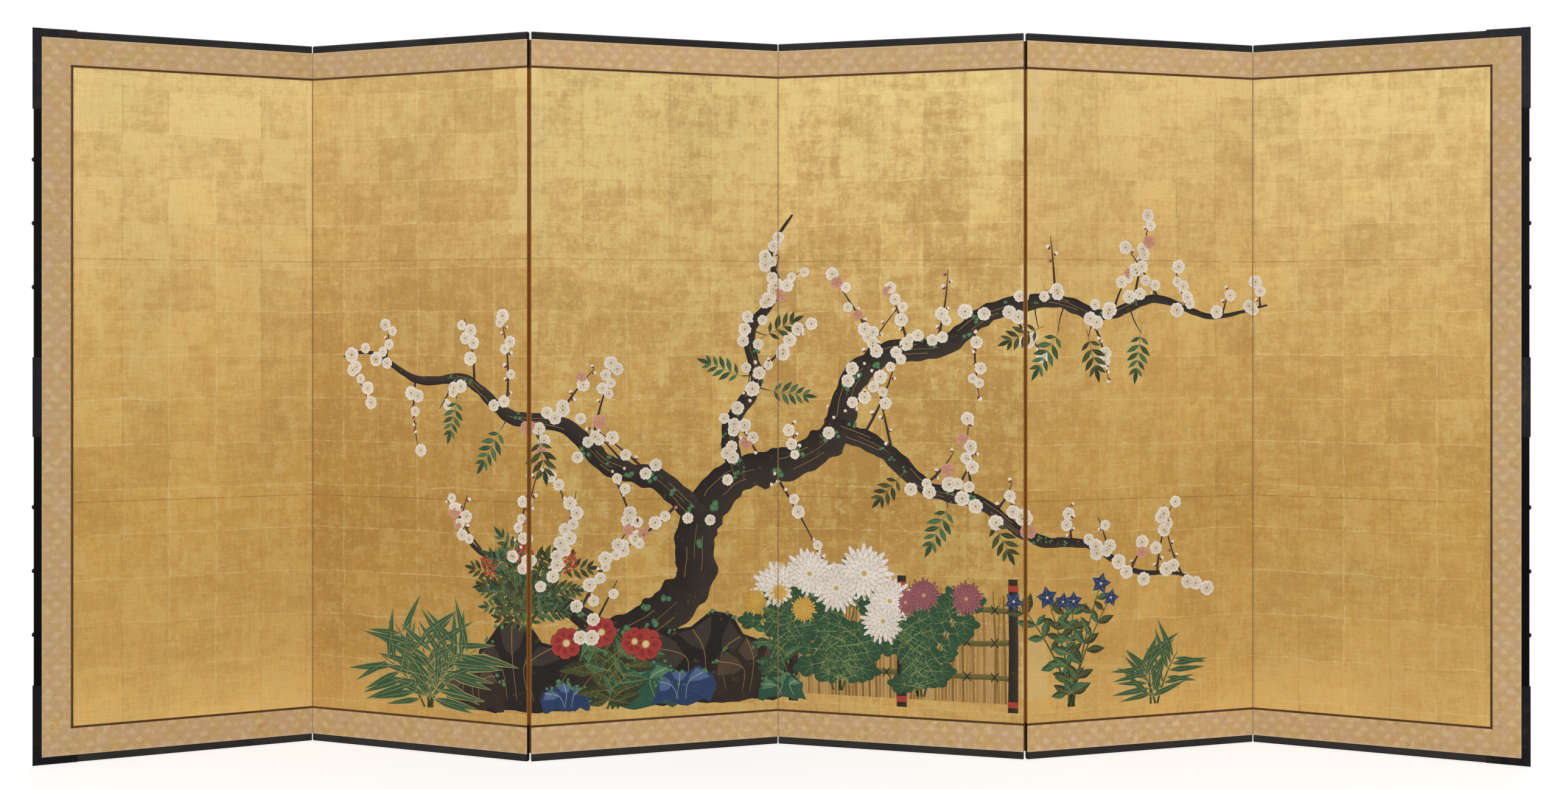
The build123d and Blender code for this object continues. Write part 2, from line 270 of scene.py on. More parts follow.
def laid_leaf():
    """Colour, roughness and height in mm of the gold leaf, from its place in mm."""
    group, given, result = new_group(
        "Shader", "laid gold leaf", {"Place": "Vector", "Tone": "Vector", "Wear": "Float"},
        {"Color": "Color", "Roughness": "Float", "Height": "Float"},
    )
    put = partial(add, group)
    spot = given["Place"]
    height = put("SeparateXYZ", spot).outputs["Z"]

    # The hand sets each leaf down a few millimetres out of line with its neighbours.
    laid = swayed(put, spot, (15, 15, 15), 0.011, 1.5)
    counted = put("VectorMath MULTIPLY_ADD", laid, (1 / LEAF_SIDE, 0, 1 / LEAF_SIDE), (0, 0.5, 0))
    leaf = put("VectorMath FLOOR", counted)
    within = put("SeparateXYZ", put("VectorMath FRACTION", counted)).outputs
    own = put("TexWhiteNoise", leaf, noise_dimensions="3D")
    column = put("TexWhiteNoise", put("SeparateXYZ", leaf).outputs["X"], noise_dimensions="1D")

    # Seams: where two leaves lie double the strip is paler along its level edges and mostly duller
    # along its upright ones, 1 to 6 mm wide, and rubbed away for long stretches.
    ragged = put("TexNoise", spot, 0.030, 5.0, 0.72)
    reach = put("MapRange", ragged, 0.40, 0.68, 0.0, 0.060)
    upright, level = (put("Math LESS_THAN", within[axis], reach) for axis in "XZ")
    bright = put("Math GREATER_THAN", column, 0.6)
    dull = put("Math SUBTRACT", upright, bright, use_clamp=True)
    bright = put("Math MULTIPLY", upright, bright)
    overlap = put("Math MAXIMUM", bright, level)

    # Short crossed streaks follow wrinkles in the leaf, upright and level.
    streaks = [
        stretched(put, spot, stretch, shift, 4.0, 0.68)
        for stretch, shift in (((0.022, 0, 0.20), 3.0), ((0.20, 0, 0.020), 41.0))
    ]
    wrinkle = put("MapRange", put("Math ADD", *streaks), 0.80, 1.20, -1.0, 1.0)

    # Wear: the leaf has rubbed away in small square-cornered patches of three sizes, each leaf in
    # its own way. Here and there a thin pale line is left where size and dust have dried.
    bent = put("VectorMath MULTIPLY", swayed(put, spot, (10, 10, 10), 0.07, 3.0, 0.6), (1, 0, 1))
    wear = put("Math MULTIPLY", own, 0.10)
    for stretch, shift in (((0.008, 0, 0.045), 17.0), ((0.045, 0, 0.008), 63.0)):
        wear = put("Math MULTIPLY_ADD", stretched(put, spot, stretch, shift, 5.0, 0.62), 0.42, wear)
    for across, share in ((36, 0.10), (16, 0.10), (7.5, 0.09)):
        cells = put("TexVoronoi", bent, 1 / across, distance="CHEBYCHEV").outputs["Color"]
        wear = put("Math MULTIPLY_ADD", put("SeparateXYZ", cells).outputs["X"], share, wear)
    wear = put("Math MULTIPLY_ADD", put("TexNoise", spot, 0.014, 7.0, 0.66), 0.30, wear)
    high = put("Math MULTIPLY", put("MapRange", height, 650.0, 1350.0, 0.72), given["Wear"])
    rubbing_and_highlight = put("MapRange", wear, 0.755, 0.925, 0.0, high)
    fresh = put("MapRange", wear, 0.785, 0.635, 0.0, high)
    vein = put("TexNoise", bent, 0.026, 4.0, 0.58, Distortion=0.6)
    kept = put("MapRange", ragged, 0.47, 0.58, 0.0, high)
    rim = put("Math MULTIPLY", put("Math COMPARE", vein, 0.51, 0.0080), kept)
    specks = put("MapRange", put("TexNoise", spot, 0.11, 6.0, 0.75), 0.60, 0.74)

    # Mends: strips of newer leaf beside the folds, with torn edges.
    torn = swayed(put, spot, (46, 0, 46), 0.045, 6.0, 0.65)
    mended = 0.0
    for along, reach_along, up, reach_up in MENDS:
        off = put("VectorMath ABSOLUTE", put("VectorMath SUBTRACT", torn, (along, 0, up)))
        over = put("SeparateXYZ", put("VectorMath SUBTRACT", off, (reach_along, 0, reach_up))).outputs
        inside = put("Math LESS_THAN", put("Math MAXIMUM", over["X"], over["Z"]), 0.0)
        mended = put("Math MAXIMUM", mended, inside)

    # Horizontal joins of the paper sheets show as a thin dark line, broken here and there.
    laps = [put("Math COMPARE", put("Math SUBTRACT", height, join), 0.0, 0.8) for join in PAPER_JOINS]
    broken = put("MapRange", ragged, 0.36, 0.54)
    join_line = put("Math MULTIPLY", put("Math MAXIMUM", *laps), broken)

    # The gold is pale at the foot and the head, and darkest about a third of the way up.
    ground = put("ValToRGB", put("MapRange", height, picture_foot * 1000, picture_head * 1000))
    stops = ground.color_ramp.elements
    stops[0].color, stops[1].color = colour("#eabe6e"), colour("#e6c682")
    for position, code in ((0.10, "#d6aa5b"), (0.32, "#c89c4d"), (0.60, "#d4ab60"), (0.82, "#dfbb75")):
        stops.new(position).color = colour(code)
    broad = put("MapRange", put("TexNoise", spot, 0.0042, 4.0, 0.55), 0.3, 0.7, -0.08, 0.08)
    value = put("Math MULTIPLY_ADD", own, -0.06, 0.004)
    value = put("Math MULTIPLY_ADD", column, 0.05, value)
    value = put("Math ADD", value, broad)
    value = put("Math MULTIPLY_ADD", wrinkle, 0.068, value)
    value = put("Math ADD", value, 1.0)
    # The panel's painted light and shade scales the gold's colour here.
    tone = put("VectorMath MULTIPLY", put("VectorMath SCALE", ground, value), given["Tone"])
    for mask, strength, code in (
        (fresh, 0.44, "#f1db8e"),
        (rubbing_and_highlight, 0.36, "#b98c50"),
        (specks, 0.18, "#8a6230"),
        (dull, 0.22, "#a07a3c"),
        (overlap, 0.34, "#f4dd9c"),
        (rim, 0.54, "#f3e0a6"),
        (mended, 0.44, "#f2d996"),
        (join_line, 0.60, "#7a5124"),
    ):
        share = put("Math MULTIPLY", mask, strength)
        tone = put("Mix", share, tone, colour(code), data_type="RGBA")
    raised = put("Math MULTIPLY_ADD", wrinkle, 0.02, put("Math MULTIPLY", overlap, 0.02))
    feed(result, tone, put("MapRange", wear, 0.60, 0.95, 0.40, 0.66), raised)
    return group


def new_material(name, **uniform):
    """A material, what adds nodes to it, and its shader with the values that are the same all over."""
    material = bpy.data.materials.new(name)
    material.use_nodes = True
    shader = material.node_tree.nodes["Principled BSDF"]
    feed(shader, **uniform)
    return material, partial(add, material.node_tree), shader


def flat_place(put, number):
    """The place in mm on the unfolded picture: along it from its left end, into it, and up."""
    across = place[number].to_3x3() @ Vector((picture_start[number], 0, 0))
    return put(
        "Mapping", put("TexCoord").outputs["Object"], place[number].translation - across,
        place[number].to_euler(), (0.001, 0.001, 0.001), vector_type="TEXTURE",
    )


def cover(node, material):
    """Gives a CAD node its finish."""
    nodes[node].data.materials.clear()
    nodes[node].data.materials.append(material)


leaf_group = laid_leaf()
for number in PANELS:
    # Beaten gold over paper: half metal, half the warm ground that shows through it, and satin.
    gold, put, shader = new_material(f"gold leaf on paper {number}", Metallic=0.42, Specular_IOR_Level=0.35)
    spot = flat_place(put, number)
    look = put("Group", spot, PANEL_PAINTED_LIGHT[number], PANEL_WEAR[number], node_tree=leaf_group).outputs
    relief = put("Bump", Height=look["Height"], Distance=0.001, Strength=0.8)
    feed(shader, Base_Color=look["Color"], Roughness=look["Roughness"], Normal=relief)
    cover(f"panel_{number}_gold_leaf_sheet", gold)

# ---------------------------------------------------------------------------------------------
# The painting: an old plum tree in flower over rocks, a brushwood fence and garden flowers, in
# ink, powdered shell and mineral colours. It is drawn on the unfolded picture, in mm from the
# left end and from the floor, as thin raised areas of colour, then cut at the folds.

UNDER_THE_GOLD = 0.3
INK = "#2b2522"
SOFT_INK = "#40372f"
GOLD_LINE = "#a5834c"

draw = random.Random(1861)


def new_drawing():
    """Points, faces and colours of a group of painted shapes."""
    return {"points": [], "faces": [], "tints": []}


def shape(drawing, outline, rim, middle=None, lift=0.1, dome=0.03, centre=None):
    """An area of pigment fanned from its centre, with an edge that goes down into the gold."""
    turning = sum(a[0] * b[1] - b[0] * a[1] for a, b in zip(outline, outline[1:] + outline[:1]))
    if turning < 0:
        outline = outline[::-1]
    count = len(outline)
    if centre is None:
        centre = (sum(x for x, z in outline) / count, sum(z for x, z in outline) / count)
    first = len(drawing["points"])
    drawing["points"].append((centre[0], -lift - dome, centre[1]))
    drawing["points"] += [(x, -lift, z) for x, z in outline]
    drawing["points"] += [(x, UNDER_THE_GOLD, z) for x, z in outline]
    drawing["tints"] += [colour(middle or rim)] + [colour(rim)] * (2 * count)
    for at in range(count):
        here, after = first + 1 + at, first + 1 + (at + 1) % count
        drawing["faces"] += [(first, here, after), (here, here + count, after + count, after)]


def smooth_path(knots, step=9.0):
    """Points (x, z, width) about one step apart along a soft curve through the knots."""
    found = []
    for at in range(len(knots) - 1):
        before, here, after, beyond = (knots[max(0, min(len(knots) - 1, at + k))] for k in (-1, 0, 1, 2))
        pieces = max(2, round(math.dist(here[:2], after[:2]) / step))
        for piece in range(pieces):
            t = piece / pieces
            found.append(tuple(
                0.5 * (
                    2 * h + (a - b) * t + (2 * b - 5 * h + 4 * a - y) * t ** 2
                    + (3 * h - b - 3 * a + y) * t ** 3
                )
                for b, h, a, y in zip(before, here, after, beyond)
            ))
    return found + [tuple(knots[-1])]


def stroke(drawing, path, code, lift, rough=0.0, side_code=None):
    """A brush stroke along (x, z, width) points, whose edges can be rough like bark."""
    first = len(drawing["points"])
    for at, (x, z, width) in enumerate(path):
        before, after = path[max(0, at - 1)], path[min(len(path) - 1, at + 1)]
        run = Vector((after[0] - before[0], after[1] - before[1])).normalized()
        left = Vector((-run.y, run.x))
        for way in (1, -1):
            bite = rough * width * noise.noise(Vector((x * 0.034, z * 0.034, way * 9.0)))
            reach = way * (width / 2 + bite)
            for depth in (-lift, UNDER_THE_GOLD):
                drawing["points"].append((x + left.x * reach, depth, z + left.y * reach))
                drawing["tints"].append(colour(side_code if side_code and way < 0 else code))
    for at in range(len(path) - 1):
        left_top, left_foot, right_top, right_foot = (first + 4 * at + k for k in range(4))
        drawing["faces"] += [
            (right_top, right_top + 4, left_top + 4, left_top),
            (left_top, left_top + 4, left_foot + 4, left_foot),
            (right_top, right_foot, right_foot + 4, right_top + 4),
        ]
    last = first + 4 * (len(path) - 1)
    drawing["faces"] += [(first, first + 1, first + 3, first + 2), (last, last + 2, last + 3, last + 1)]


def turned(outline, x, z, turn=0.0, size=1.0):
    """An outline drawn about (0, 0), set down at (x, z), turned anticlockwise and scaled."""
    c, s = math.cos(turn) * size, math.sin(turn) * size
    return [(x + px * c - pz * s, z + px * s + pz * c) for px, pz in outline]


def ring(reach, angles):
    """A small round outline about (0, 0)."""
    return [(reach * math.cos(angle), reach * math.sin(angle)) for angle in angles]


FIVE = (0, 1.26, 2.51, 3.77, 5.03)
EIGHT = [0.785 * k for k in range(8)]


def dab(x, z, reach):
    """The uneven outline of one touch of a brush."""
    return [
        (x + px * draw.uniform(0.8, 1.1), z + pz * draw.uniform(0.8, 1.1))
        for px, pz in ring(reach, EIGHT)
    ]


def leaf_outline(length, width, fullest=0.42, half=8):
    """A pointed leaf from its foot at (0, 0) up to its tip at (0, length)."""
    side = []
    for at in range(half + 1):
        t = at / half
        swell = (t / fullest) ** 0.8 if t < fullest else 1.0
        fall = 1.0 if t < fullest else 1 - ((t - fullest) / (1 - fullest)) ** 1.7
        side.append((width / 2 * min(swell, 1.0) * fall, length * t))
    return side + [(-x, z) for x, z in side[-2:0:-1]]


def petal_outline(length, width, notch=0.0, points=12):
    """A round petal from its foot at (0, 0), with a notch at its outer edge."""
    found = []
    for at in range(points):
        angle = 2 * math.pi * at / points - math.pi / 2
        x, z = math.cos(angle) * width / 2, (math.sin(angle) + 1) * length / 2
        z -= notch * length * max(0.0, math.sin(angle)) * max(0.0, 1 - abs(x) / (0.25 * width))
        x *= 0.55 + 0.45 * min(1.0, z / (0.6 * length))
        found.append((x, z))
    return found


# Painted plants: each is drawn once about (0, 0) and then set down many times.

def plum_blossom(petal, heart):
    """Five round petals about a yellow centre with fine stamens, 34 mm across."""
    made = new_drawing()
    for at in range(5):
        outline = turned(petal_outline(16.5, 17.5, 0.08), 0, 0, at * math.tau / 5)
        shape(made, outline, petal, heart, 0.04 + 0.012 * at)
    for at in range(9):
        angle = at * math.tau / 9 + 0.2
        tip = (math.cos(angle) * 8.2, math.sin(angle) * 8.2)
        stroke(made, [(0, 0, 0.5), (*tip, 0.5)], "#b98b35", 0.115)
        shape(made, turned(ring(1.1, FIVE), *tip), "#d9a437", lift=0.125)
    shape(made, ring(2.2, EIGHT), "#8e9a4a", lift=0.13)
    return made


def plum_bud(petal):
    """A closed bud in its brown-red calyx."""
    made = new_drawing()
    shape(made, [(x * 0.9, z + 1) for x, z in petal_outline(11, 10.5)], petal, lift=0.05)
    shape(made, petal_outline(5.5, 8.5), "#7a3b30", lift=0.06)
    return made


def leaf(length, width, dark, light, vein):
    """A leaf with a darker and a lighter half and a fine midrib."""
    made = new_drawing()
    whole = leaf_outline(length, width)
    half = len(whole) // 2 + 1
    for outline, code in ((whole[:half], dark), ([whole[0]] + whole[half - 1:], light)):
        shape(made, outline, code, lift=0.04, dome=0.0)
    stroke(made, [(0, -0.12 * length, 1.6), (0, 0.5 * length, 1.1), (0, 0.93 * length, 0.4)], vein, 0.055)
    for way in (1, -1):
        for at in (0.22, 0.4, 0.58):
            vein_end = (way * width * 0.33, (at + 0.13) * length, 0.4)
            stroke(made, [(0, at * length, 0.6), vein_end], vein, 0.055)
    return made


PAIR_EVERY = 22.0


def feather_leaf(pairs, dark, light, vein):
    """Small leaves in pairs along one stalk, up to 130 mm long."""
    made = new_drawing()
    reach = PAIR_EVERY * pairs
    stroke(made, [(0, -20, 2.0), (1.5, reach * 0.5, 1.5), (0, reach, 0.9)], vein, 0.03)
    for at in range(pairs):
        for way in (1, -1):
            turn = -way * (1.0 - 0.35 * at / pairs)
            size = (0.75, 1.0, 0.95, 0.8, 0.7)[min(at, 4)]
            code = dark if (at + (way > 0)) % 2 else light
            foot = (0, 12 + PAIR_EVERY * at)
            outline = turned(leaf_outline(46, 15.5, half=6), *foot, turn, size)
            shape(made, outline, code, lift=0.04 + 0.004 * at, dome=0.01)
            ridge = turned([(0, 3), (0, 40)], *foot, turn, size)
            stroke(made, [(*ridge[0], 0.8), (*ridge[1], 0.4)], vein, 0.075)
    shape(made, turned(leaf_outline(44, 14, half=6), 0, reach - 6), dark, lift=0.07, dome=0.01)
    return made


def chrysanthemum(petal, shade, across):
    """Rings of narrow petals, each over a shaded edge, about a dense centre."""
    made = new_drawing()
    rings = ((24, 0.5, 0.115), (20, 0.40, 0.11), (15, 0.29, 0.10), (9, 0.17, 0.085))
    for row, (count, reach, width) in enumerate(rings):
        for at in range(count):
            turn = (at + 0.5 * (row % 2)) * math.tau / count
            length = across * reach * (0.94 + 0.10 * math.sin(at * 2.4 + row))
            lift = 0.03 + 0.045 * row + 0.004 * (at % 3)
            for long, wide, code, over, dome in ((1, 1, shade, 0, 0.0), (0.965, 0.78, petal, 0.02, 0.01)):
                outline = petal_outline(length * long, across * width * wide, points=9)
                shape(made, turned(outline, 0, 0, turn), code, lift=lift + over, dome=dome)
    shape(made, ring(across * 0.045, [k * 0.628 for k in range(10)]), "#d8b865", lift=0.24)
    return made


def camellia(petal, deep):
    """Broad overlapping petals round a boss of pale stamens with yellow heads, 84 mm across."""
    made = new_drawing()
    for at in range(7):
        turn = at * math.tau / 7
        lift = 0.012 * at
        shape(made, turned(petal_outline(42, 36, 0.05, 14), 0, 0, turn), deep, lift=0.03 + lift, dome=0.0)
        inner = turned(petal_outline(40.5, 33.5, 0.05, 14), 0, 0, turn)
        shape(made, inner, petal, deep, 0.036 + lift, 0.01)
    shape(made, ring(10, [k * 0.524 for k in range(12)]), "#ead9a8", lift=0.14)
    for at in range(16):
        angle = at * math.tau / 16
        spot = (8.5 * math.cos(angle), 8.5 * math.sin(angle))
        shape(made, turned(ring(1.7, FIVE), *spot), "#d29a2e", lift=0.16)
    return made


def bellflower(petal, deep):
    """A five-pointed bell seen from the front, 52 mm across."""
    made = new_drawing()
    star = [
        (reach * math.cos(at * math.tau / 10 + 0.3), reach * math.sin(at * math.tau / 10 + 0.3))
        for at, reach in enumerate((26, 14.5) * 5)
    ]
    shape(made, star, petal, deep, 0.05, 0.02)
    for x, z in star[::2]:
        stroke(made, [(0, 0, 0.5), (x * 0.85, z * 0.85, 0.5)], "#9fb0bf", 0.08)
    shape(made, ring(3.2, EIGHT), "#e6dcc0", lift=0.1)
    return made


def lobed_leaf(dark, vein):
    """A chrysanthemum leaf with five blunt lobes, 80 mm long."""
    made = new_drawing()
    outline = []
    for at in range(40):
        angle = at * math.tau / 40 - math.pi / 2
        lobes = 0.74 + 0.26 * abs(math.cos(2.5 * (angle - math.pi / 2)))
        outline.append((27 * lobes * math.cos(angle), 40 + 40 * lobes * math.sin(angle)))
    shape(made, outline, dark, lift=0.04, dome=0.02, centre=(0, 34))
    for turn in (-1.15, -0.6, 0.0, 0.6, 1.15):
        vein_end = (*turned([(0, 34)], 0, 28, turn)[0], 0.4)
        foot = [(0, 16, 1.2), (0, 28, 1.0)] if turn == 0 else [(0, 28, 0.9)]
        stroke(made, foot + [vein_end], vein, 0.07)
    stroke(made, [(0, -22, 1.8), (0, 16, 1.4)], vein, 0.065)
    return made


def berries():
    """A loose bunch of red berries on fine stalks."""
    made = new_drawing()
    for at in range(16):
        angle, reach = at * 2.4, 4.6 * math.sqrt(at + 0.5)
        spot = (reach * math.cos(angle), reach * 1.5 * math.sin(angle))
        stroke(made, [(0, 30, 0.8), (*spot, 0.6)], "#5a4a2c", 0.03)
        shape(made, turned(ring(3.9, EIGHT), *spot), "#b5382f", "#d0594a", 0.06 + 0.002 * at)
    return made


def grass_leaf(dark, light):
    """A long bamboo grass leaf with a pale, dried edge, 130 mm long."""
    made = new_drawing()
    whole = leaf_outline(130, 21, 0.3, 10)
    shape(made, whole, light, lift=0.04, dome=0.0)
    shape(made, [(x * 0.78, 3 + z * 0.95) for x, z in whole], dark, lift=0.05, dome=0.01)
    stroke(made, [(0, 0, 1.2), (0, 118, 0.4)], light, 0.07)
    return made


GREENS = ("#34533a", "#4a7350", "#9aa05e")
DARK_GREENS = ("#39402b", "#4c5634", "#8b7d45")
MOTIFS = {
    "white_plum": plum_blossom("#f7efe2", "#efdcc2"),
    "pink_plum": plum_blossom("#dfa592", "#c98672"),
    "white_bud": plum_bud("#f4ebdc"),
    "pink_bud": plum_bud("#cf8f80"),
    "leaf": leaf(66, 30, *GREENS),
    "dark_leaf": leaf(66, 28, *DARK_GREENS),
    "feather": feather_leaf(5, *GREENS),
    "dark_feather": feather_leaf(4, *DARK_GREENS),
    "white_mum": chrysanthemum("#f6eee4", "#d2b89c", 138),
    "rose_mum": chrysanthemum("#a8656a", "#6d3b45", 92),
    "yellow_mum": chrysanthemum("#e3b556", "#b07d2c", 74),
    "camellia": camellia("#bf4a42", "#8f2f2f"),
    "bellflower": bellflower("#36476e", "#273457"),
    "lobed_leaf": lobed_leaf("#36573d", "#93a365"),
    "berries": berries(),
    "grass": grass_leaf("#3e6041", "#b2a869"),
}
KINDS = {name: at for at, name in enumerate(MOTIFS)}


def drawing_mesh(name, drawing):
    """The drawing as an object, in metres, with its colours in an attribute."""
    made = mesh_object(name, [[c / 1000 for c in point] for point in drawing["points"]], drawing["faces"])
    tint = made.data.attributes.new("tint", "FLOAT_COLOR", "POINT")
    tint.data.foreach_set("color", [c for code in drawing["tints"] for c in code])
    return made


# Ground pigments in hide glue: matt and slightly grainy, thin in places so that gold glints
# through, and abraded where the leaves of the screen have rubbed.
pigment, put, shader = new_material("mineral pigment in glue", Roughness=0.72, Specular_IOR_Level=0.22)
spot = put("TexCoord").outputs["Object"]
depth = put("MapRange", put("TexNoise", spot, 28.0, 6.0, 0.65), 0.3, 0.7, 0.90, 1.14)
tone = put("VectorMath SCALE", put("Attribute", attribute_name="tint"), depth)
worn = put("MapRange", put("TexNoise", spot, 55.0, 8.0, 0.8), 0.60, 0.68, 0.0, 0.65)
tone = put("Mix", worn, tone, colour("#b08a4c"), data_type="RGBA")
relief = put("Bump", Height=put("TexNoise", spot, 900.0, 2.0), Distance=0.0001, Strength=0.5)
feed(shader, Base_Color=tone, Normal=relief)

motif_shelf = bpy.data.collections.new("motifs")
for at, (name, drawing) in enumerate(MOTIFS.items()):
    motif = drawing_mesh(f"motif_{at:02d}_{name}", drawing)
    bpy.context.scene.collection.objects.unlink(motif)
    motif_shelf.objects.link(motif)


def strewing_tree():
    """Sets the motif named by each point's number down on it, turned and scaled as the point says."""
    group, given, result = new_group(
        "Geometry", "set down motifs",
        {"Geometry": "Geometry", "Motifs": "Collection", "Size": "Float", "Pigment": "Material"},
        {"Geometry": "Geometry"},
    )
    put = partial(add, group)
    turn, size, kind = (
        put("GeometryNodeInputNamedAttribute", name, data_type=number)
        for name, number in (("turn", "FLOAT"), ("size", "FLOAT"), ("kind", "INT"))
    )
    across = put("Math MULTIPLY", size, given["Size"])
    set_down = put(
        "GeometryNodeInstanceOnPoints", given["Geometry"],
        Instance=put("GeometryNodeCollectionInfo", given["Motifs"], True, True), Pick_Instance=True,
        Instance_Index=kind, Rotation=put("CombineXYZ", Y=turn), Scale=put("CombineXYZ", across, 1.0, across),
    )
    real = put("GeometryNodeRealizeInstances", set_down)
    feed(result, put("GeometryNodeSetMaterial", real, Material=given["Pigment"]))
    return group


def grown(name, points, group, values, columns=()):
    """The plain mesh that a geometry group makes of points with attributes, fed by input name."""
    guide = mesh_object(name, points, [])
    for column, numbers in dict(columns).items():
        kind = "INT" if isinstance(numbers[0], int) else "FLOAT"
        guide.data.attributes.new(column, kind, "POINT").data.foreach_set("value", numbers)
    modifier = guide.modifiers.new(name, "NODES")
    modifier.node_group = group
    for item in group.interface.items_tree:
        if item.in_out == "INPUT" and item.name in values:
            modifier[item.identifier] = values[item.name]
    flat = bpy.data.meshes.new_from_object(guide.evaluated_get(bpy.context.evaluated_depsgraph_get()))
    guide.modifiers.remove(modifier)
    bpy.data.objects.remove(guide)
    return flat


strewing = strewing_tree()


def set_down(name, spots, low_lift, high_lift):
    """Flat mesh of the motifs at (kind, x, z, turn, size), each a little nearer than the last."""
    step = (high_lift - low_lift) / len(spots)
    kinds, xs, zs, turns, sizes = zip(*spots)
    points = [(x / 1000, -(low_lift + step * at) / 1000, z / 1000) for at, (x, z) in enumerate(zip(xs, zs))]
    columns = {"turn": [-turn for turn in turns], "size": sizes, "kind": [KINDS[kind] for kind in kinds]}
    values = {"Motifs": motif_shelf, "Size": 1.0, "Pigment": pigment}
    return grown(name, points, strewing, values, columns)


CUT_BACK = 0.0004


def hang(name, flat):
    """Cuts a flat painted mesh at the folds and sets each part on its panel."""
    for number in PANELS:
        part = bmesh.new()
        part.from_mesh(flat)
        start, end = picture_start[number], picture_start[number] + picture_width[number]
        for spot, way in (
            ((start + CUT_BACK, 0, 0), (-1, 0, 0)), ((end - CUT_BACK, 0, 0), (1, 0, 0)),
            ((0, 0, picture_foot), (0, 0, -1)), ((0, 0, picture_head), (0, 0, 1)),
        ):
            everything = part.verts[:] + part.edges[:] + part.faces[:]
            bmesh.ops.bisect_plane(
                part, geom=everything, dist=1e-7, plane_co=spot, plane_no=way, clear_outer=True,
            )
        if part.faces:
            part.transform(place[number] @ Matrix.Translation((-start, 0, 0)))
            mesh = bpy.data.meshes.new(f"panel_{number}_{name}")
            part.to_mesh(mesh)
            piece = bpy.data.objects.new(mesh.name, mesh)
            bpy.context.scene.collection.objects.link(piece)
            # Clearing the list also sets every face to its first place, where the pigment goes.
            mesh.materials.clear()
            mesh.materials.append(pigment)
            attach(piece, f"panel_{number}")
        part.free()


def hang_drawing(name, drawing):
    """Hangs a drawing as it is."""
    flat = drawing_mesh("flat", drawing)
    hang(name, flat.data)
    bpy.data.objects.remove(flat)


# The tree's wood: a dark trunk that leans to the right, limbs to both sides, and the straight
# young shoots of a plum, all in ink with a lighter edge, fine gold lines and patches of moss.

LIMBS = [
    [(1236, 156, 112), (1268, 196, 120), (1345, 262, 112), (1455, 318, 112), (1540, 410, 102),
     (1556, 545, 98), (1640, 655, 88), (1788, 690, 82), (1903, 768, 76), (1942, 890, 64),
     (2035, 962, 58), (2165, 978, 50), (2282, 1058, 42), (2425, 1088, 34), (2560, 1052, 27),
     (2700, 1092, 20), (2852, 1050, 13), (3000, 1078, 5)],
    [(1556, 560, 60), (1462, 652, 52), (1335, 694, 45), (1232, 788, 38), (1100, 815, 32), (985, 898, 25),
     (852, 896, 18), (724, 960, 10), (636, 952, 4)],
    [(1905, 775, 52), (2020, 728, 44), (2128, 638, 38), (2262, 602, 32), (2384, 520, 26), (2522, 502, 20),
     (2640, 436, 14), (2762, 424, 8), (2846, 380, 3)],
    [(1655, 655, 46), (1636, 780, 40), (1700, 888, 34), (1686, 1010, 27), (1752, 1110, 20),
     (1738, 1212, 13), (1792, 1300, 5)],
    [(1345, 262, 60), (1250, 352, 44), (1180, 380, 34), (1120, 470, 24), (1020, 490, 14), (962, 560, 5)],
]
SHOOT_EVERY = 92.0

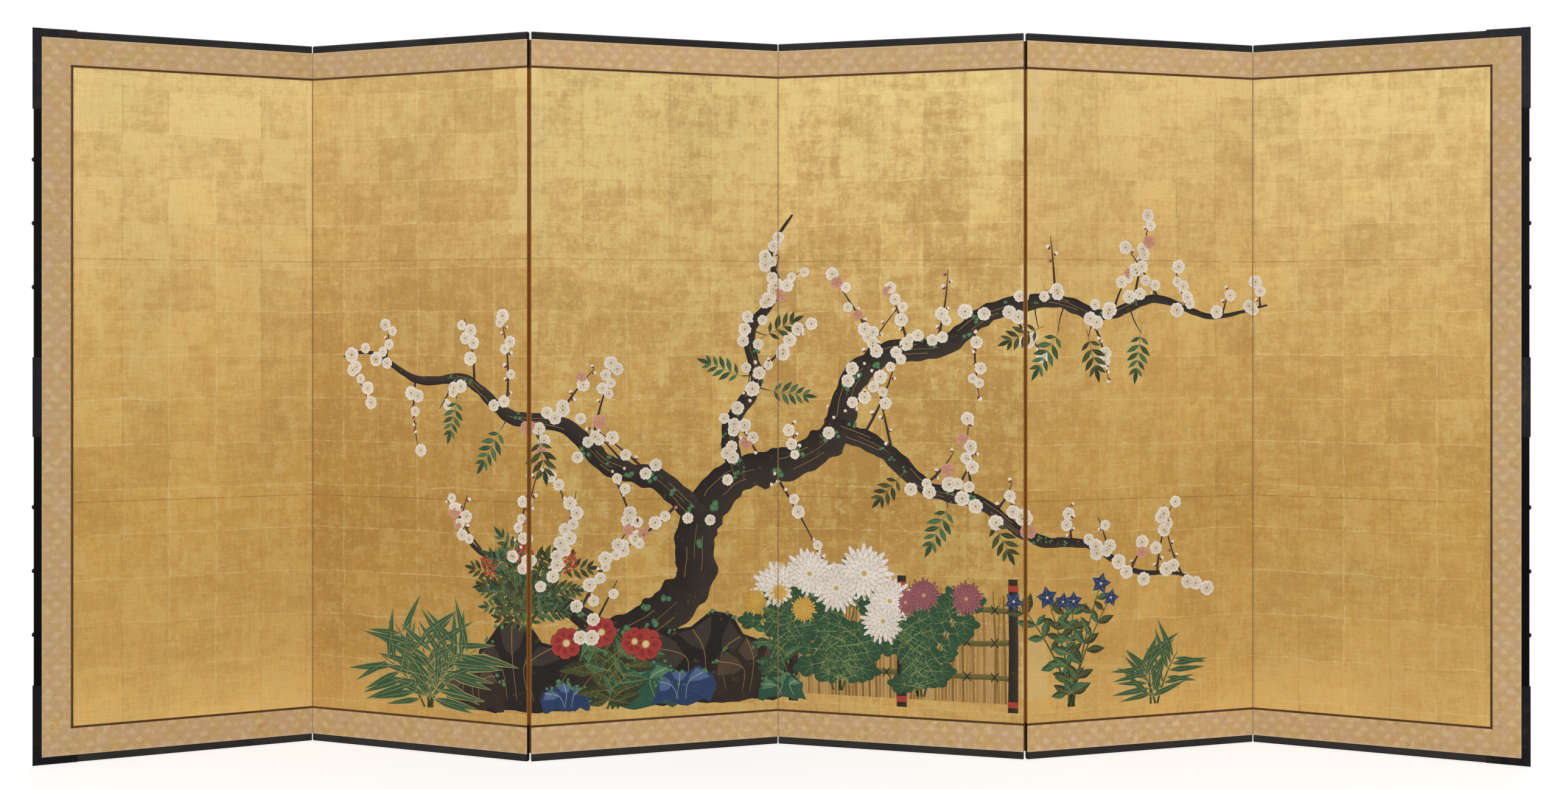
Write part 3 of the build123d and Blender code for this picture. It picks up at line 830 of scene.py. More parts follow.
wood = new_drawing()
limb_paths = []
moss_spots = []
blossom_spots = []
for limb_number, knots in enumerate(LIMBS):
    path = smooth_path(knots)
    stroke(wood, path, INK, 0.10 + 0.012 * limb_number, 0.17, SOFT_INK)
    limb_paths += path
    for line, (offset, share) in enumerate(((0.22, 0.9), (-0.18, 0.8), (0.02, 0.6))):
        for start in range(0, len(path) - 14, 22):
            run = path[start + 3 * line:start + 3 * line + 12]
            if len(run) < 6 or run[0][2] < 26:
                continue
            shifted = []
            for before, (x, z, width), after in zip(run, run[1:], run[2:]):
                ahead = Vector((after[0] - before[0], after[1] - before[1])).normalized()
                sway = offset * width + 3.0 * noise.noise(Vector((x * 0.03, z * 0.03, line)))
                shifted.append((x - ahead.y * sway, z + ahead.x * sway, 1.5 * share))
            stroke(wood, shifted, GOLD_LINE, 0.17)
    for x, z, width in path[::3]:
        if width > 22 and draw.random() < 0.42:
            along, up = draw.uniform(-0.4, 0.4) * width, draw.uniform(-0.3, 0.45) * width
            moss_spots.append((x + along, z + up, draw.uniform(0.5, 1.0) * width ** 0.5))

    # Shoots stand up from the limb, or hang where it is high, and carry buds and flowers by turns.
    walked = 0.0
    due = 60.0
    for before, here in zip(path, path[1:]):
        walked += math.dist(before[:2], here[:2])
        if walked < due or here[2] > 84:
            continue
        due = walked + SHOOT_EVERY * draw.uniform(0.5, 1.3)
        lean = draw.uniform(-0.75, 0.75) + (0.2 if here[0] > 1600 else -0.2)
        if draw.random() < 0.25 and here[1] > 450:
            lean += math.pi * 0.72 * (1 if lean > 0 else -1)
        length = draw.uniform(70, 260) * (0.6 + 0.4 * min(1.0, here[2] / 30))
        bend = draw.uniform(-0.25, 0.25)
        steps = max(4, round(length / 16))
        x, z = here[0], here[1]
        shoot = []
        for at in range(steps + 1):
            t = at / steps
            shoot.append((x, z, 6.5 * (1 - t) * min(1.0, 0.5 + here[2] / 60) + 1.6))
            x += math.sin(lean + bend * t * 2) * length / steps
            z += math.cos(lean + bend * t * 2) * length / steps
        stroke(wood, shoot, SOFT_INK, 0.09)
        side = 1
        for px, pz, _ in shoot[1:]:
            if draw.random() < 0.72:
                side = -side
                tint = "pink" if draw.random() < 0.10 else "white"
                if draw.random() < 0.55:
                    px, pz = px + side * draw.uniform(2, 13), pz + draw.uniform(-6, 6)
                    turn, size = draw.uniform(0, 6.28), draw.uniform(0.75, 1.12)
                    blossom_spots.append((f"{tint}_plum", px, pz, turn, size))
                else:
                    turn, size = -lean - side * 0.9, draw.uniform(0.8, 1.15)
                    blossom_spots.append((f"{tint}_bud", px + side * 4, pz, turn, size))
    for x, z, width in path[::2]:
        if width < 60 and draw.random() < 0.30:
            x, z = (c + draw.uniform(-0.7, 0.7) * (width + 12) for c in (x, z))
            blossom_spots.append(("white_plum", x, z, draw.uniform(0, 6.28), draw.uniform(0.85, 1.25)))

# Moss: dabs of malachite green with a dark ring, dotted over the bark.
for x, z, reach in moss_spots:
    for _ in range(3):
        touch = dab(x + draw.uniform(-9, 9), z + draw.uniform(-9, 9), reach)
        shape(wood, touch, "#3f6a4a", "#6f9a6a", 0.19 + 0.0005 * (len(wood["points"]) % 50), 0.01)

hang_drawing("painted_tree", wood)
hang("painted_blossoms", set_down("blossoms", blossom_spots, 0.24, 0.46))

# The foot of the tree: ink rocks with azurite and moss, a fence of brushwood tied to dark posts,
# and clumps of chrysanthemum, camellia, nandina, bellflower and bamboo grass.

ROCK_CODES = {
    "dark": ("#2b2624", "#463d36", GOLD_LINE), "brown": ("#3b3029", "#5a4a3c", GOLD_LINE),
    "blue": ("#34486e", "#5a719a", "#a3b0c0"), "green": ("#38604a", "#5f8a68", "#a9bd93"),
}
ROCK_FOOT = 112

garden = new_drawing()


def drawn_in(corners, middle, shares):
    """Each corner moved to the middle by its share of the way."""
    return [
        (x + (middle[0] - x) * share, z + (middle[1] - z) * share) for (x, z), share in zip(corners, shares)
    ]


def rock(x, width, tall, kind, lift):
    """A weathered rock: angular above, uneven below, with paler faces, cracks and moss."""
    code, face_code, line_code = ROCK_CODES[kind]
    corners = []
    for at in range(12):
        angle = math.pi * at / 11
        reach = 1 + draw.uniform(-0.13, 0.10)
        along = width / 2 * reach * math.cos(angle) * (1 + 0.12 * math.sin(angle))
        corners.append((x + along, ROCK_FOOT + tall * reach * math.sin(angle) ** 0.7))
    corners += [(x - width / 2 + width * at / 9, ROCK_FOOT + draw.uniform(-7, 9)) for at in range(1, 9)]
    shape(garden, corners, code, lift=lift, dome=0.01, centre=(x, ROCK_FOOT + 0.4 * tall))
    middle = (x + draw.uniform(-0.1, 0.1) * width, ROCK_FOOT + 0.45 * tall)
    for first in (2, 5, 8):
        edge = corners[first:first + 3]
        inner = drawn_in(edge, middle, (0.10, 0.08, 0.12))
        deep = drawn_in(edge[::-1], middle, (0.50, 0.66, 0.44))
        shape(garden, inner + deep, face_code, lift=lift + 0.008, dome=0.005)
        crack_end = (deep[1][0] + draw.uniform(-20, 20), ROCK_FOOT + 0.14 * tall, 0.8)
        crack = smooth_path([(*inner[1], 2.2), (*deep[1], 1.6), crack_end], 12)
        stroke(garden, crack, line_code, lift + 0.02)
    for px, pz in corners[1:10]:
        if draw.random() < 0.6:
            for _ in range(3):
                reach = draw.uniform(3.0, 6.0)
                touch = dab(px + draw.uniform(-12, 12), pz + draw.uniform(-10, 4), reach)
                shape(garden, touch, "#43704f", "#76a071", lift + 0.03, 0.005)


FENCE = (1800, 2330)
STICK_EVERY = 8.5
for at in range(int((FENCE[1] - FENCE[0]) / STICK_EVERY)):
    x = FENCE[0] + STICK_EVERY * at
    top = 395 + 22 * noise.noise(Vector((x * 0.02, 0, 0))) + draw.uniform(-12, 12)
    code = draw.choice(("#b88f55", "#a67f48", "#c49d63", "#94703f"))
    middle, tip = ((x + draw.uniform(-3, 3), 260, 6.4), (x + draw.uniform(-6, 6), top, 3.0))
    stroke(garden, [(x, 128, 6.8), middle, tip], code, 0.05)
for rail in (190, 272, 350):
    along = range(FENCE[0] - 12, FENCE[1] + 20, 12)
    rail_path = [(x, rail + 5 * noise.noise(Vector((x * 0.01, rail, 0))), 13) for x in along]
    stroke(garden, rail_path, "#7f7440", 0.07, 0.08, "#5f5a33")
    for x in range(FENCE[0] + 30, FENCE[1], 66):
        for up, lift in ((11, 0.085), (-11, 0.09)):
            stroke(garden, [(x - 9, rail - up, 2.6), (x + 9, rail + up, 2.6)], INK, lift)
for x in (FENCE[0] - 6, 2066, FENCE[1] + 6):
    stroke(garden, [(x, 108, 24), (x + 1, 260, 23), (x, 425, 22)], INK, 0.10, 0.04, SOFT_INK)
    for foot, head in ((396, 410), (120, 134)):
        stroke(garden, [(x, foot, 25), (x, head, 25)], "#b9463c", 0.115)
for at, (x, width, tall, kind) in enumerate((
    (1130, 230, 205, "dark"), (1010, 170, 120, "brown"), (1560, 330, 215, "dark"),
    (1690, 200, 150, "brown"), (1425, 170, 118, "green"), (1235, 120, 70, "blue"),
    (1520, 150, 92, "blue"), (1765, 120, 62, "green"),
)):
    rock(x, width, tall, kind, 0.12 + 0.012 * at)
hang_drawing("painted_rocks_and_fence", garden)

plant_spots = []
stems = new_drawing()


def clump(x, z, stalks, spread, height, leaf_kinds, flower_kinds, leaf_size, flower_size=1.0):
    """Stalks fanning up from one root, with leaves along them and a flower at each end."""
    for at in range(stalks):
        lean = spread * ((at + 0.5) / stalks - 0.5) * 2 + draw.uniform(-0.08, 0.08)
        length = height * draw.uniform(0.75, 1.05)
        steps = 8
        px, pz = x + draw.uniform(-14, 14), z
        line = []
        for k in range(steps + 1):
            line.append((px, pz, 4.2 * (1 - k / steps) + 1.6))
            px += math.sin(lean * (0.6 + 0.8 * k / steps)) * length / steps
            pz += math.cos(lean * (0.6 + 0.8 * k / steps)) * length / steps
        stroke(stems, line, "#4a5a36", 0.19)
        for px, pz, _ in line[1:-1]:
            for way in (1, -1):
                if draw.random() < 0.8:
                    turn = -lean - way * draw.uniform(0.7, 1.3)
                    kind = draw.choice(leaf_kinds)
                    plant_spots.append((kind, px, pz, turn, leaf_size * draw.uniform(0.75, 1.1)))
        if flower_kinds:
            kind, turn = draw.choice(flower_kinds), -lean + draw.uniform(-0.3, 0.3)
            plant_spots.append((kind, *line[-1][:2], turn, flower_size * draw.uniform(0.85, 1.1)))


clump(1905, 140, 5, 0.75, 330, ("lobed_leaf",), ("white_mum",), 0.95, 1.05)
clump(2110, 135, 4, 0.6, 250, ("lobed_leaf",), ("rose_mum", "white_mum"), 0.85, 0.9)
clump(1760, 150, 3, 0.6, 220, ("lobed_leaf", "leaf"), ("yellow_mum",), 0.85, 1.0)
clump(1345, 112, 4, 0.8, 190, ("leaf", "dark_leaf"), ("camellia",), 1.0, 0.95)
clump(2470, 118, 6, 0.55, 300, ("leaf", "dark_leaf"), ("bellflower",), 0.7, 1.0)
clump(880, 108, 6, 1.0, 210, ("grass",), (), 1.0)
clump(2700, 112, 3, 0.7, 130, ("grass",), (), 0.8)
clump(1130, 300, 3, 0.9, 220, ("dark_feather", "feather"), ("berries",), 0.8, 1.0)

# Sprays of feathered leaves hang among the plum's limbs and carry the green across the folds.
for x, z, turn, kind, size in (
    (2440, 1010, 2.6, "feather", 0.9), (2520, 1000, 3.4, "dark_feather", 0.9),
    (2390, 1020, 2.0, "dark_feather", 0.8), (2660, 1010, 3.0, "feather", 0.85),
    (2180, 590, 2.7, "feather", 0.9), (2290, 560, 3.6, "dark_feather", 0.9),
    (2060, 660, 2.4, "dark_feather", 0.8), (1080, 780, 2.6, "feather", 0.85),
    (1170, 760, 3.3, "dark_feather", 0.9), (960, 850, 2.9, "feather", 0.75),
    (1662, 905, 1.2, "feather", 0.8), (1726, 1004, -1.1, "dark_feather", 0.85),
    (1738, 868, -1.7, "feather", 0.8),
):
    plant_spots.append((kind, x, z, turn, size))
    near = min(limb_paths, key=lambda point: math.dist(point[:2], (x, z)))
    half_way = ((near[0] + x) / 2 + draw.uniform(-8, 8), (near[1] + z) / 2)
    stroke(stems, smooth_path([(*near[:2], 4.0), (*half_way, 3.0), (x, z, 2.0)], 14), SOFT_INK, 0.2)
hang_drawing("painted_stems", stems)
hang("painted_flowers", set_down("flowers", plant_spots, 0.21, 0.42))

for motif in list(motif_shelf.objects):
    bpy.data.objects.remove(motif)
bpy.data.collections.remove(motif_shelf)

# ---------------------------------------------------------------------------------------------
# The wide border: silk brocade pasted round the picture, with small fans in paler thread. The fans
# stand in staggered rows, and the ground between them is a plain rib weave.

FAN_PITCH = 36.5
FAN_ROWS = 37.0
FAN_LIFT = 4.6
FAN_APEX = 8.0
FAN_REACH = 15.2
FAN_HALF_ANGLE = 0.80
PETAL_WAVES = 17.5
BORDER_WIDTH = 68.0
# Painted light and shade: each panel's brocade is made lighter or darker for the way the panel faces the
# lamps.
SILK_PAINTED_LIGHT = {1: 1.04, 2: 0.97, 3: 1.13, 4: 1.03, 5: 1.13, 6: 1.0}


def staggered_figures():
    """Place in mm within the nearest figure of two interleaved grids, and that figure's own number."""
    group, given, result = new_group(
        "Shader", "staggered figures", {"Place": "Vector", "Pitch": "Float", "Rows": "Float"},
        {"Place": "Vector", "Distance": "Float", "Angle": "Float", "Number": "Vector"},
    )
    put = partial(add, group)
    size = put("CombineXYZ", given["Pitch"], 1.0, given["Rows"])
    counted = put("VectorMath DIVIDE", given["Place"], size)
    places, distances, numbers = [], [], []
    for shift in (0.0, 0.5):
        moved = put("VectorMath ADD", counted, (shift, 0, shift))
        middle = put("VectorMath SUBTRACT", put("VectorMath FRACTION", moved), (0.5, 0, 0.5))
        real = put("VectorMath MULTIPLY", put("VectorMath MULTIPLY", middle, size), (1, 0, 1))
        places.append(real)
        distances.append(put("VectorMath LENGTH", real))
        numbers.append(put("VectorMath ADD", put("VectorMath FLOOR", moved), (shift, 0.0, 0.0)))
    second = put("Math LESS_THAN", *distances[::-1])
    here, number = (put("Mix", second, *pair, data_type="VECTOR") for pair in (places, numbers))
    parts = put("SeparateXYZ", here).outputs
    feed(result, here, put("Math MINIMUM", *distances), put("Math ARCTAN2", parts["Z"], parts["X"]), number)
    return group


def off_lines(put, parts, lines):
    """How far a place is in mm from the nearest of some upright (X) and level (Z) lines."""
    nearest = 1000.0
    for axis, line in lines:
        off = put("Math ABSOLUTE", put("Math SUBTRACT", parts[axis], line))
        nearest = put("Math MINIMUM", off, nearest)
    return nearest


figures = staggered_figures()
frame_foot, frame_head = (corner.z * 1000 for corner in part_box("panel_1_brocade_border"))
FRAME_LINES = (
    ("X", -BORDER_WIDTH), ("X", picture_end * 1000 + BORDER_WIDTH), ("Z", frame_foot), ("Z", frame_head),
)
for number in PANELS:
    # Silk twill with a supplementary weft: a soft sheen, ribs 2.4 mm apart, drawn wider than real
    # thread so that they show, and fans of five petals whose thread catches more light.
    silk, put, shader = new_material(
        f"silk brocade {number}", Roughness=0.62, Sheen_Weight=0.2, Specular_IOR_Level=0.3,
    )
    spot = flat_place(put, number)
    lowered = put("VectorMath ADD", spot, (0, 0, -FAN_LIFT))
    figure = put("Group", lowered, FAN_PITCH, FAN_ROWS, node_tree=figures).outputs
    hung = put("VectorMath SUBTRACT", (0, 0, FAN_APEX), figure["Place"])
    parts = put("SeparateXYZ", hung).outputs
    turn = put("Math ARCTAN2", parts["X"], parts["Z"])
    folds = put("Math COSINE", put("Math MULTIPLY", turn, PETAL_WAVES))
    hem = put("Math MULTIPLY_ADD", folds, 0.9, FAN_REACH)
    gap = put("Math SUBTRACT", hem, put("VectorMath LENGTH", hung))
    petal = put("MapRange", gap, -1.2, 1.8)
    wing = put("MapRange", put("Math ABSOLUTE", turn), FAN_HALF_ANGLE + 0.10, FAN_HALF_ANGLE - 0.10)
    rib = put("MapRange", folds, -1.0, -0.5, 0.45)
    woven = put("Math MULTIPLY", put("Math MULTIPLY", petal, wing), rib)
    own = put("TexWhiteNoise", figure["Number"], noise_dimensions="3D")
    ribs = put("TexWave", spot, 0.13, 0.5, 1.0, bands_direction="Z").outputs["Fac"]

    # The ground has yellowed unevenly, and blotches of other warm tones lie over it.
    warmth = put("MapRange", put("TexNoise", spot, 0.02, 5.0, 0.6), 0.38, 0.62)
    ground = put("Mix", warmth, colour("#d3ad84"), colour("#d2ad70"), data_type="RGBA")
    blotch = put("TexNoise", spot, 0.045, 5.0, 0.65)
    blotches = put("SeparateXYZ", blotch.outputs["Color"]).outputs
    for channel, low, high, code in (
        ("X", 0.54, 0.66, "#d69f62"), ("Y", 0.55, 0.66, "#e6cf9a"), ("Z", 0.56, 0.66, "#bb9c58"),
    ):
        patch = put("MapRange", blotches[channel], low, high, 0.0, 0.55)
        ground = put("Mix", patch, ground, colour(code), data_type="RGBA")
    thread = put("Mix", own, colour("#f0d09a"), colour("#ebcaa8"), data_type="RGBA")
    share = put("Math MULTIPLY", woven, put("MapRange", blotch, 0.60, 0.42, 0.10, 0.58))
    tone = put("Mix", share, ground, thread, data_type="RGBA")

    # A painted highlight runs along the frame, where the silk turns over its edge, and the
    # silk is lighter near the floor.
    parts = put("SeparateXYZ", spot).outputs
    fade_and_edge_highlight = put("MapRange", off_lines(put, parts, FRAME_LINES), 3.6, 1.6, 0.0, 0.4)
    tone = put("Mix", fade_and_edge_highlight, tone, colour("#e0d0a8"), data_type="RGBA")
    # Each panel's painted light and shade, and a lift towards the floor.
    painted_light_and_foot_lift = put("MapRange", parts["Z"], 400.0, 0.0, SILK_PAINTED_LIGHT[number], SILK_PAINTED_LIGHT[number] + 0.08)
    shade = put("Math MULTIPLY", put("MapRange", ribs, 0.0, 1.0, 0.96, 1.03), painted_light_and_foot_lift)
    raised = put("Math MULTIPLY_ADD", ribs, 0.05, put("Math MULTIPLY", woven, 0.12))
    relief = put("Bump", Height=raised, Distance=0.001, Strength=0.7)
    feed(shader, Base_Color=put("VectorMath SCALE", tone, shade), Normal=relief)
    cover(f"panel_{number}_brocade_border", silk)

# ---------------------------------------------------------------------------------------------
# The narrow border: a strip of dark brown silk between the picture and the brocade, mitred at
# the screen's outer corners and pasted over the edges of both, where its own edges have paled.

STRIP_HALF = 2.75
STRIP_LINES = (
    ("X", -STRIP_HALF), ("X", picture_end * 1000 + STRIP_HALF),
    ("Z", picture_foot * 1000 - STRIP_HALF), ("Z", picture_head * 1000 + STRIP_HALF),
)
for number in PANELS:
    # Plain-weave silk, matt, its threads drawn 1.4 mm apart; it has faded unevenly.
    ribbon, put, shader = new_material(
        f"dark silk {number}", Roughness=0.7, Sheen_Weight=0.15, Specular_IOR_Level=0.25,
    )
    spot = flat_place(put, number)
    threads = put("TexWave", spot, 0.22, 0.4, bands_direction="DIAGONAL").outputs["Fac"]
    fade_and_edge_highlight = put("MapRange", put("TexNoise", spot, 0.015, 5.0, 0.65), 0.35, 0.7)
    tone = put("Mix", fade_and_edge_highlight, colour("#4b2d14"), colour("#66431f"), data_type="RGBA")
    tone = put("VectorMath SCALE", tone, put("MapRange", threads, 0.0, 1.0, 0.88, 1.06))
    off_middle = off_lines(put, put("SeparateXYZ", spot).outputs, STRIP_LINES)
    frayed = put("MapRange", off_middle, 1.5, 2.7, 0.0, 0.62)
    tone = put("Mix", frayed, tone, colour("#b08a50"), data_type="RGBA")
    feed(shader, Base_Color=tone, Normal=put("Bump", Height=threads, Distance=0.00006, Strength=0.8))
    cover(f"panel_{number}_inner_border", ribbon)

# ---------------------------------------------------------------------------------------------
# The frame: rails and stiles of cypress, chamfered outside and coated with black lacquer that is
# rubbed to a gloss. Dust and a painted reflection of the pale studio grey the rails a little, and
# the lower ones most.

mount_foot, mount_head = (corner.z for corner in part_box("panel_1_underlay"))
RAILS_FROM_MIDDLE = (0.8425, 0.8445)

# Urushi: nearly black with a clear hard gloss, and a faint unevenness in the polish.
lacquer, put, shader = new_material("black lacquer", IOR=1.5, Specular_IOR_Level=0.10)
spot = put("TexCoord").outputs["Object"]
haze = put("TexNoise", spot, 9.0, 6.0, 0.65)
tone = put("Mix", haze, colour("#040303"), colour("#0b0808"), data_type="RGBA")
up = put("SeparateXYZ", spot).outputs["Z"]
from_middle = put("Math ABSOLUTE", put("Math SUBTRACT", up, (mount_foot + mount_head) / 2))
# Dust and a painted reflection of the pale studio grey the rails, the lower ones most.
dust_and_painted_reflection = put("Math ADD", put("MapRange", up, 0.0, 0.5, 0.42, 0.0), haze)
rail_dust_and_reflection = put("Math MULTIPLY", put("MapRange", from_middle, *RAILS_FROM_MIDDLE), dust_and_painted_reflection)
tone = put("Mix", rail_dust_and_reflection, tone, colour("#3e3b39"), data_type="RGBA")
# The chamfers, whose faces look up at about 45 degrees, carry a painted highlight.
facing = put("SeparateXYZ", put("NewGeometry").outputs["True Normal"]).outputs["Z"]
rubbing_and_highlight = put("Math MULTIPLY", put("Math COMPARE", facing, 0.7, 0.15), haze)
tone = put("Mix", rubbing_and_highlight, tone, colour("#5a5a60"), data_type="RGBA")
relief = put("Bump", Height=put("TexNoise", spot, 60.0, 2.0), Distance=0.0002, Strength=0.25)
feed(shader, Base_Color=tone, Roughness=put("MapRange", haze, 0.3, 0.7, 0.14, 0.30), Normal=relief)
for node in nodes:
    if node.endswith("_rail") or node.endswith("_stile"):
        cover(node, lacquer)


def panels_at_folds():
    """For each panel at each fold: its body and number, the fold's axis on it, its edge and side."""
    for joint in frame["joints"]:
        for body in (joint["parent"], joint["child"]):
            number = int(body[-1])
            axis = place[number].inverted() @ Vector(joint["pos_m"])
            at_right = axis.x > picture_width[number] / 2
            edge, way = (picture_width[number], 1) if at_right else (0.0, -1)
            yield body, number, axis, edge, way, "right" if at_right else "left"


def closed_shell(name, rings, body, materials):
    """A piece skinned over rings of points and closed at both ends, on its body."""
    count = len(rings[0])
    last = count * (len(rings) - 1)
    faces = [
        (row + at, row + (at + 1) % count, row + count + (at + 1) % count, row + count + at)
        for row in range(0, last, count) for at in range(count)
    ]
    faces += [tuple(range(count))[::-1], tuple(range(last, last + count))]
    made = mesh_object(name, [point for ring in rings for point in ring], faces)
    shell = bmesh.new()
    shell.from_mesh(made.data)
    bmesh.ops.recalc_face_normals(shell, faces=shell.faces)
    shell.to_mesh(made.data)
    shell.free()
    for material in materials:
        made.data.materials.append(material)
    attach(made, body)
    return made


# Where two panels close face to face, a lacquered slip of wood with rounded edges caps each
# rail's end grain and brings it nearly flush with the panel's edge.

SHORT_OF_THE_EDGE = 0.0001
FROM_INSIDE = 0.0003
STRAIGHT_PART = 0.00005
CAP_SIZE = 0.996
ROUNDED_SIZE = 0.94
for body, number, axis, edge, way, at_side in panels_at_folds():
    if axis.y > 0:
        continue
    for rail in ("top_rail", "bottom_rail"):
        rail_mesh = nodes[f"{body}_{rail}"].data
        corners = [place[number].inverted() @ vertex.co for vertex in rail_mesh.vertices]
        rail_end = max(way * corner.x for corner in corners)
        at_end = [corner for corner in corners if way * corner.x > rail_end - 0.00001]
        section = {(round(corner.y, 5), round(corner.z, 5)) for corner in at_end}
        y_mid, z_mid = (sum(values) / len(section) for values in zip(*section))
        section = sorted(section, key=lambda corner: math.atan2(corner[1] - z_mid, corner[0] - y_mid))
        reach = way * edge - SHORT_OF_THE_EDGE
        rings = []
        for along, size in (
            (rail_end - FROM_INSIDE, CAP_SIZE), (rail_end + STRAIGHT_PART, CAP_SIZE), (reach, ROUNDED_SIZE),
        ):
            sized = [(y_mid + (y - y_mid) * size, z_mid + (z - z_mid) * size) for y, z in section]
            rings.append([place[number] @ Vector((way * along, y, z)) for y, z in sized])
        closed_shell(f"{body}_{rail}_end_{at_side}", rings, body, [lacquer])

# ---------------------------------------------------------------------------------------------
# The fittings: thin copper alloy sheet, folded round the frame's corners and the middle of each
# stile, darkened by pickling, with a fine punched ground.

# Patinated copper alloy: blue-black metal, satin, with brown where the patina is rubbed.
metal, put, shader = new_material("patinated copper alloy", Metallic=1.0)
spot = put("TexCoord").outputs["Object"]
patina = put("TexNoise", spot, 35.0, 6.0, 0.65)
rubbing_and_highlight = put("MapRange", patina, 0.5, 0.75)
tone = put("Mix", rubbing_and_highlight, colour("#28282c"), colour("#42372f"), data_type="RGBA")
relief = put("Bump", Height=put("TexVoronoi", spot, 600.0), Distance=0.0002, Strength=0.5)
feed(shader, Base_Color=tone, Roughness=put("MapRange", patina, 0.0, 1.0, 0.30, 0.52), Normal=relief)
for side_name in ("left", "right"):
    cover(f"{side_name}_stile_fittings", metal)

# ---------------------------------------------------------------------------------------------
# The dome-headed nails: forged heads on square shanks, six down each end stile, each hammered a
# little out of true.

NAIL_HEAD_ACROSS = 0.011
NAIL_HEAD_HEIGHT = 0.0045
NAIL_SHANK_ACROSS = 0.0024
NAIL_UNDERCUT = 0.0002
NAIL_DENTS = 0.0006


def nail_tree():
    """A dome-headed nail on every point, its head along the given turn's Z axis."""
    group, given, result = new_group(
        "Geometry", "dome-headed nails",
        {"Geometry": "Geometry", "Head across": "Float", "Head height": "Float", "Shank across": "Float",
         "Shank length": "Float", "Turn": "Vector", "Metal": "Material"},
        {"Geometry": "Geometry"},
    )
    put = partial(add, group)
    radius = put("Math MULTIPLY", given["Head across"], 0.5)
    ball = put("GeometryNodeMeshUVSphere", 32, 20, 1.0)
    dome = put("GeometryNodeTransform", ball, Scale=put("CombineXYZ", radius, radius, given["Head height"]))
    parts = put("SeparateXYZ", put("GeometryNodeInputPosition")).outputs
    flattened = put("CombineXYZ", parts["X"], parts["Y"], put("Math MAXIMUM", parts["Z"], -NAIL_UNDERCUT))
    head = put("GeometryNodeSetShadeSmooth", put("GeometryNodeSetPosition", dome, Position=flattened))
    section = put("CombineXYZ", given["Shank across"], given["Shank across"], given["Shank length"])
    down = put("CombineXYZ", Z=put("Math MULTIPLY", given["Shank length"], -0.5))
    shank = put("GeometryNodeTransform", put("GeometryNodeMeshCube", section), Translation=down)
    nail = put("GeometryNodeJoinGeometry")
    for part in (head, shank):
        feed(nail, part)
    nails = put("GeometryNodeInstanceOnPoints", given["Geometry"], Instance=nail, Rotation=given["Turn"])
    real = put("GeometryNodeRealizeInstances", nails)
    dents = put("TexNoise", put("GeometryNodeInputPosition"), 320.0, 1.0).outputs["Color"]
    push = put("VectorMath SCALE", put("VectorMath SUBTRACT", dents, (0.5, 0.5, 0.5)), NAIL_DENTS)
    dented = put("GeometryNodeSetPosition", real, Offset=push)
    feed(result, put("GeometryNodeSetMaterial", dented, Material=given["Metal"]))
    return group


nailing = nail_tree()
for side_name, number, way in (("left", 1, -1), ("right", 6, 1)):
    name = f"{side_name}_stile_dome_nails"
    seen_from = place[number].inverted()
    cad_points = [seen_from @ vertex.co for vertex in nodes[f"{side_name}_stile_nails"].data.vertices]
    cad_points.sort(key=lambda point: point.z)
    rows = [[cad_points[0]]]
    for point in cad_points[1:]:
        if point.z - rows[-1][-1].z > NAIL_HEAD_ACROSS:
            rows.append([])
        rows[-1].append(point)
    seat = max(way * point.x for point in cad_points) - NAIL_HEAD_HEIGHT
    depth = (min(point.y for point in cad_points) + max(point.y for point in cad_points)) / 2
    spots = [place[number] @ Vector((way * seat, depth, (row[0].z + row[-1].z) / 2)) for row in rows]
    outward = place[number].to_3x3() @ Vector((way, 0, 0))
    forged = grown(name, spots, nailing, {
        "Head across": NAIL_HEAD_ACROSS, "Head height": NAIL_HEAD_HEIGHT, "Shank across": NAIL_SHANK_ACROSS,
        "Shank length": seat - min(way * point.x for point in cad_points),
        "Turn": list(outward.to_track_quat("Z", "Y").to_euler()), "Metal": metal,
    })
    heads = bpy.data.objects.new(name, forged)
    bpy.context.scene.collection.objects.link(heads)
    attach(heads, f"panel_{number}")
    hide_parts(f"{side_name}_stile_nails")

# ---------------------------------------------------------------------------------------------
# The body papers and hinges: layers of mulberry paper over the lattice, and bands of thick paper
# that cross from panel to panel at the folds, gold-brown beside the picture and dark at the ends.

PAPERS = (("underlay", "#a8742c", "#bd8638"), ("hinge_papers", "#a5671c", "#c07c22"))
for number in PANELS:
    for part, low_code, high_code in PAPERS:
        # Handmade mulberry paper: matt and fibrous, its edge coloured like the mount beside it.
        paper, put, shader = new_material(
            f"mulberry paper {part} {number}", Roughness=0.85, Specular_IOR_Level=0.2,
        )
        spot = flat_place(put, number)
        up = put("SeparateXYZ", spot).outputs["Z"]
        above = put("Math SUBTRACT", up, picture_foot * 1000)
        below = put("Math MULTIPLY", put("Math SUBTRACT", up, picture_head * 1000), -1)
        beside = put("Math GREATER_THAN", put("Math MINIMUM", above, below), 0.0)
        fibres = put("TexNoise", spot, 0.06, 7.0, 0.7)
        warm = put("Mix", fibres, colour(low_code), colour(high_code), data_type="RGBA")
        tone = put("Mix", beside, colour("#3b2414"), warm, data_type="RGBA")
        feed(shader, Base_Color=tone, Normal=put("Bump", Height=fibres, Distance=0.0003, Strength=0.4))
        cover(f"panel_{number}_{part}", paper)

# ---------------------------------------------------------------------------------------------
# The turn-ins: at each fold the mount is folded in over the hinge bands, so that no light comes
# through. Each panel has its half, from its face up to just short of the line where it turns.

INTO_THE_MOUNT = 0.0002
OVER_THE_EDGE = 0.00004
SHORT_OF_THE_AXIS = 0.00003
INNER_BORDER = 0.0055
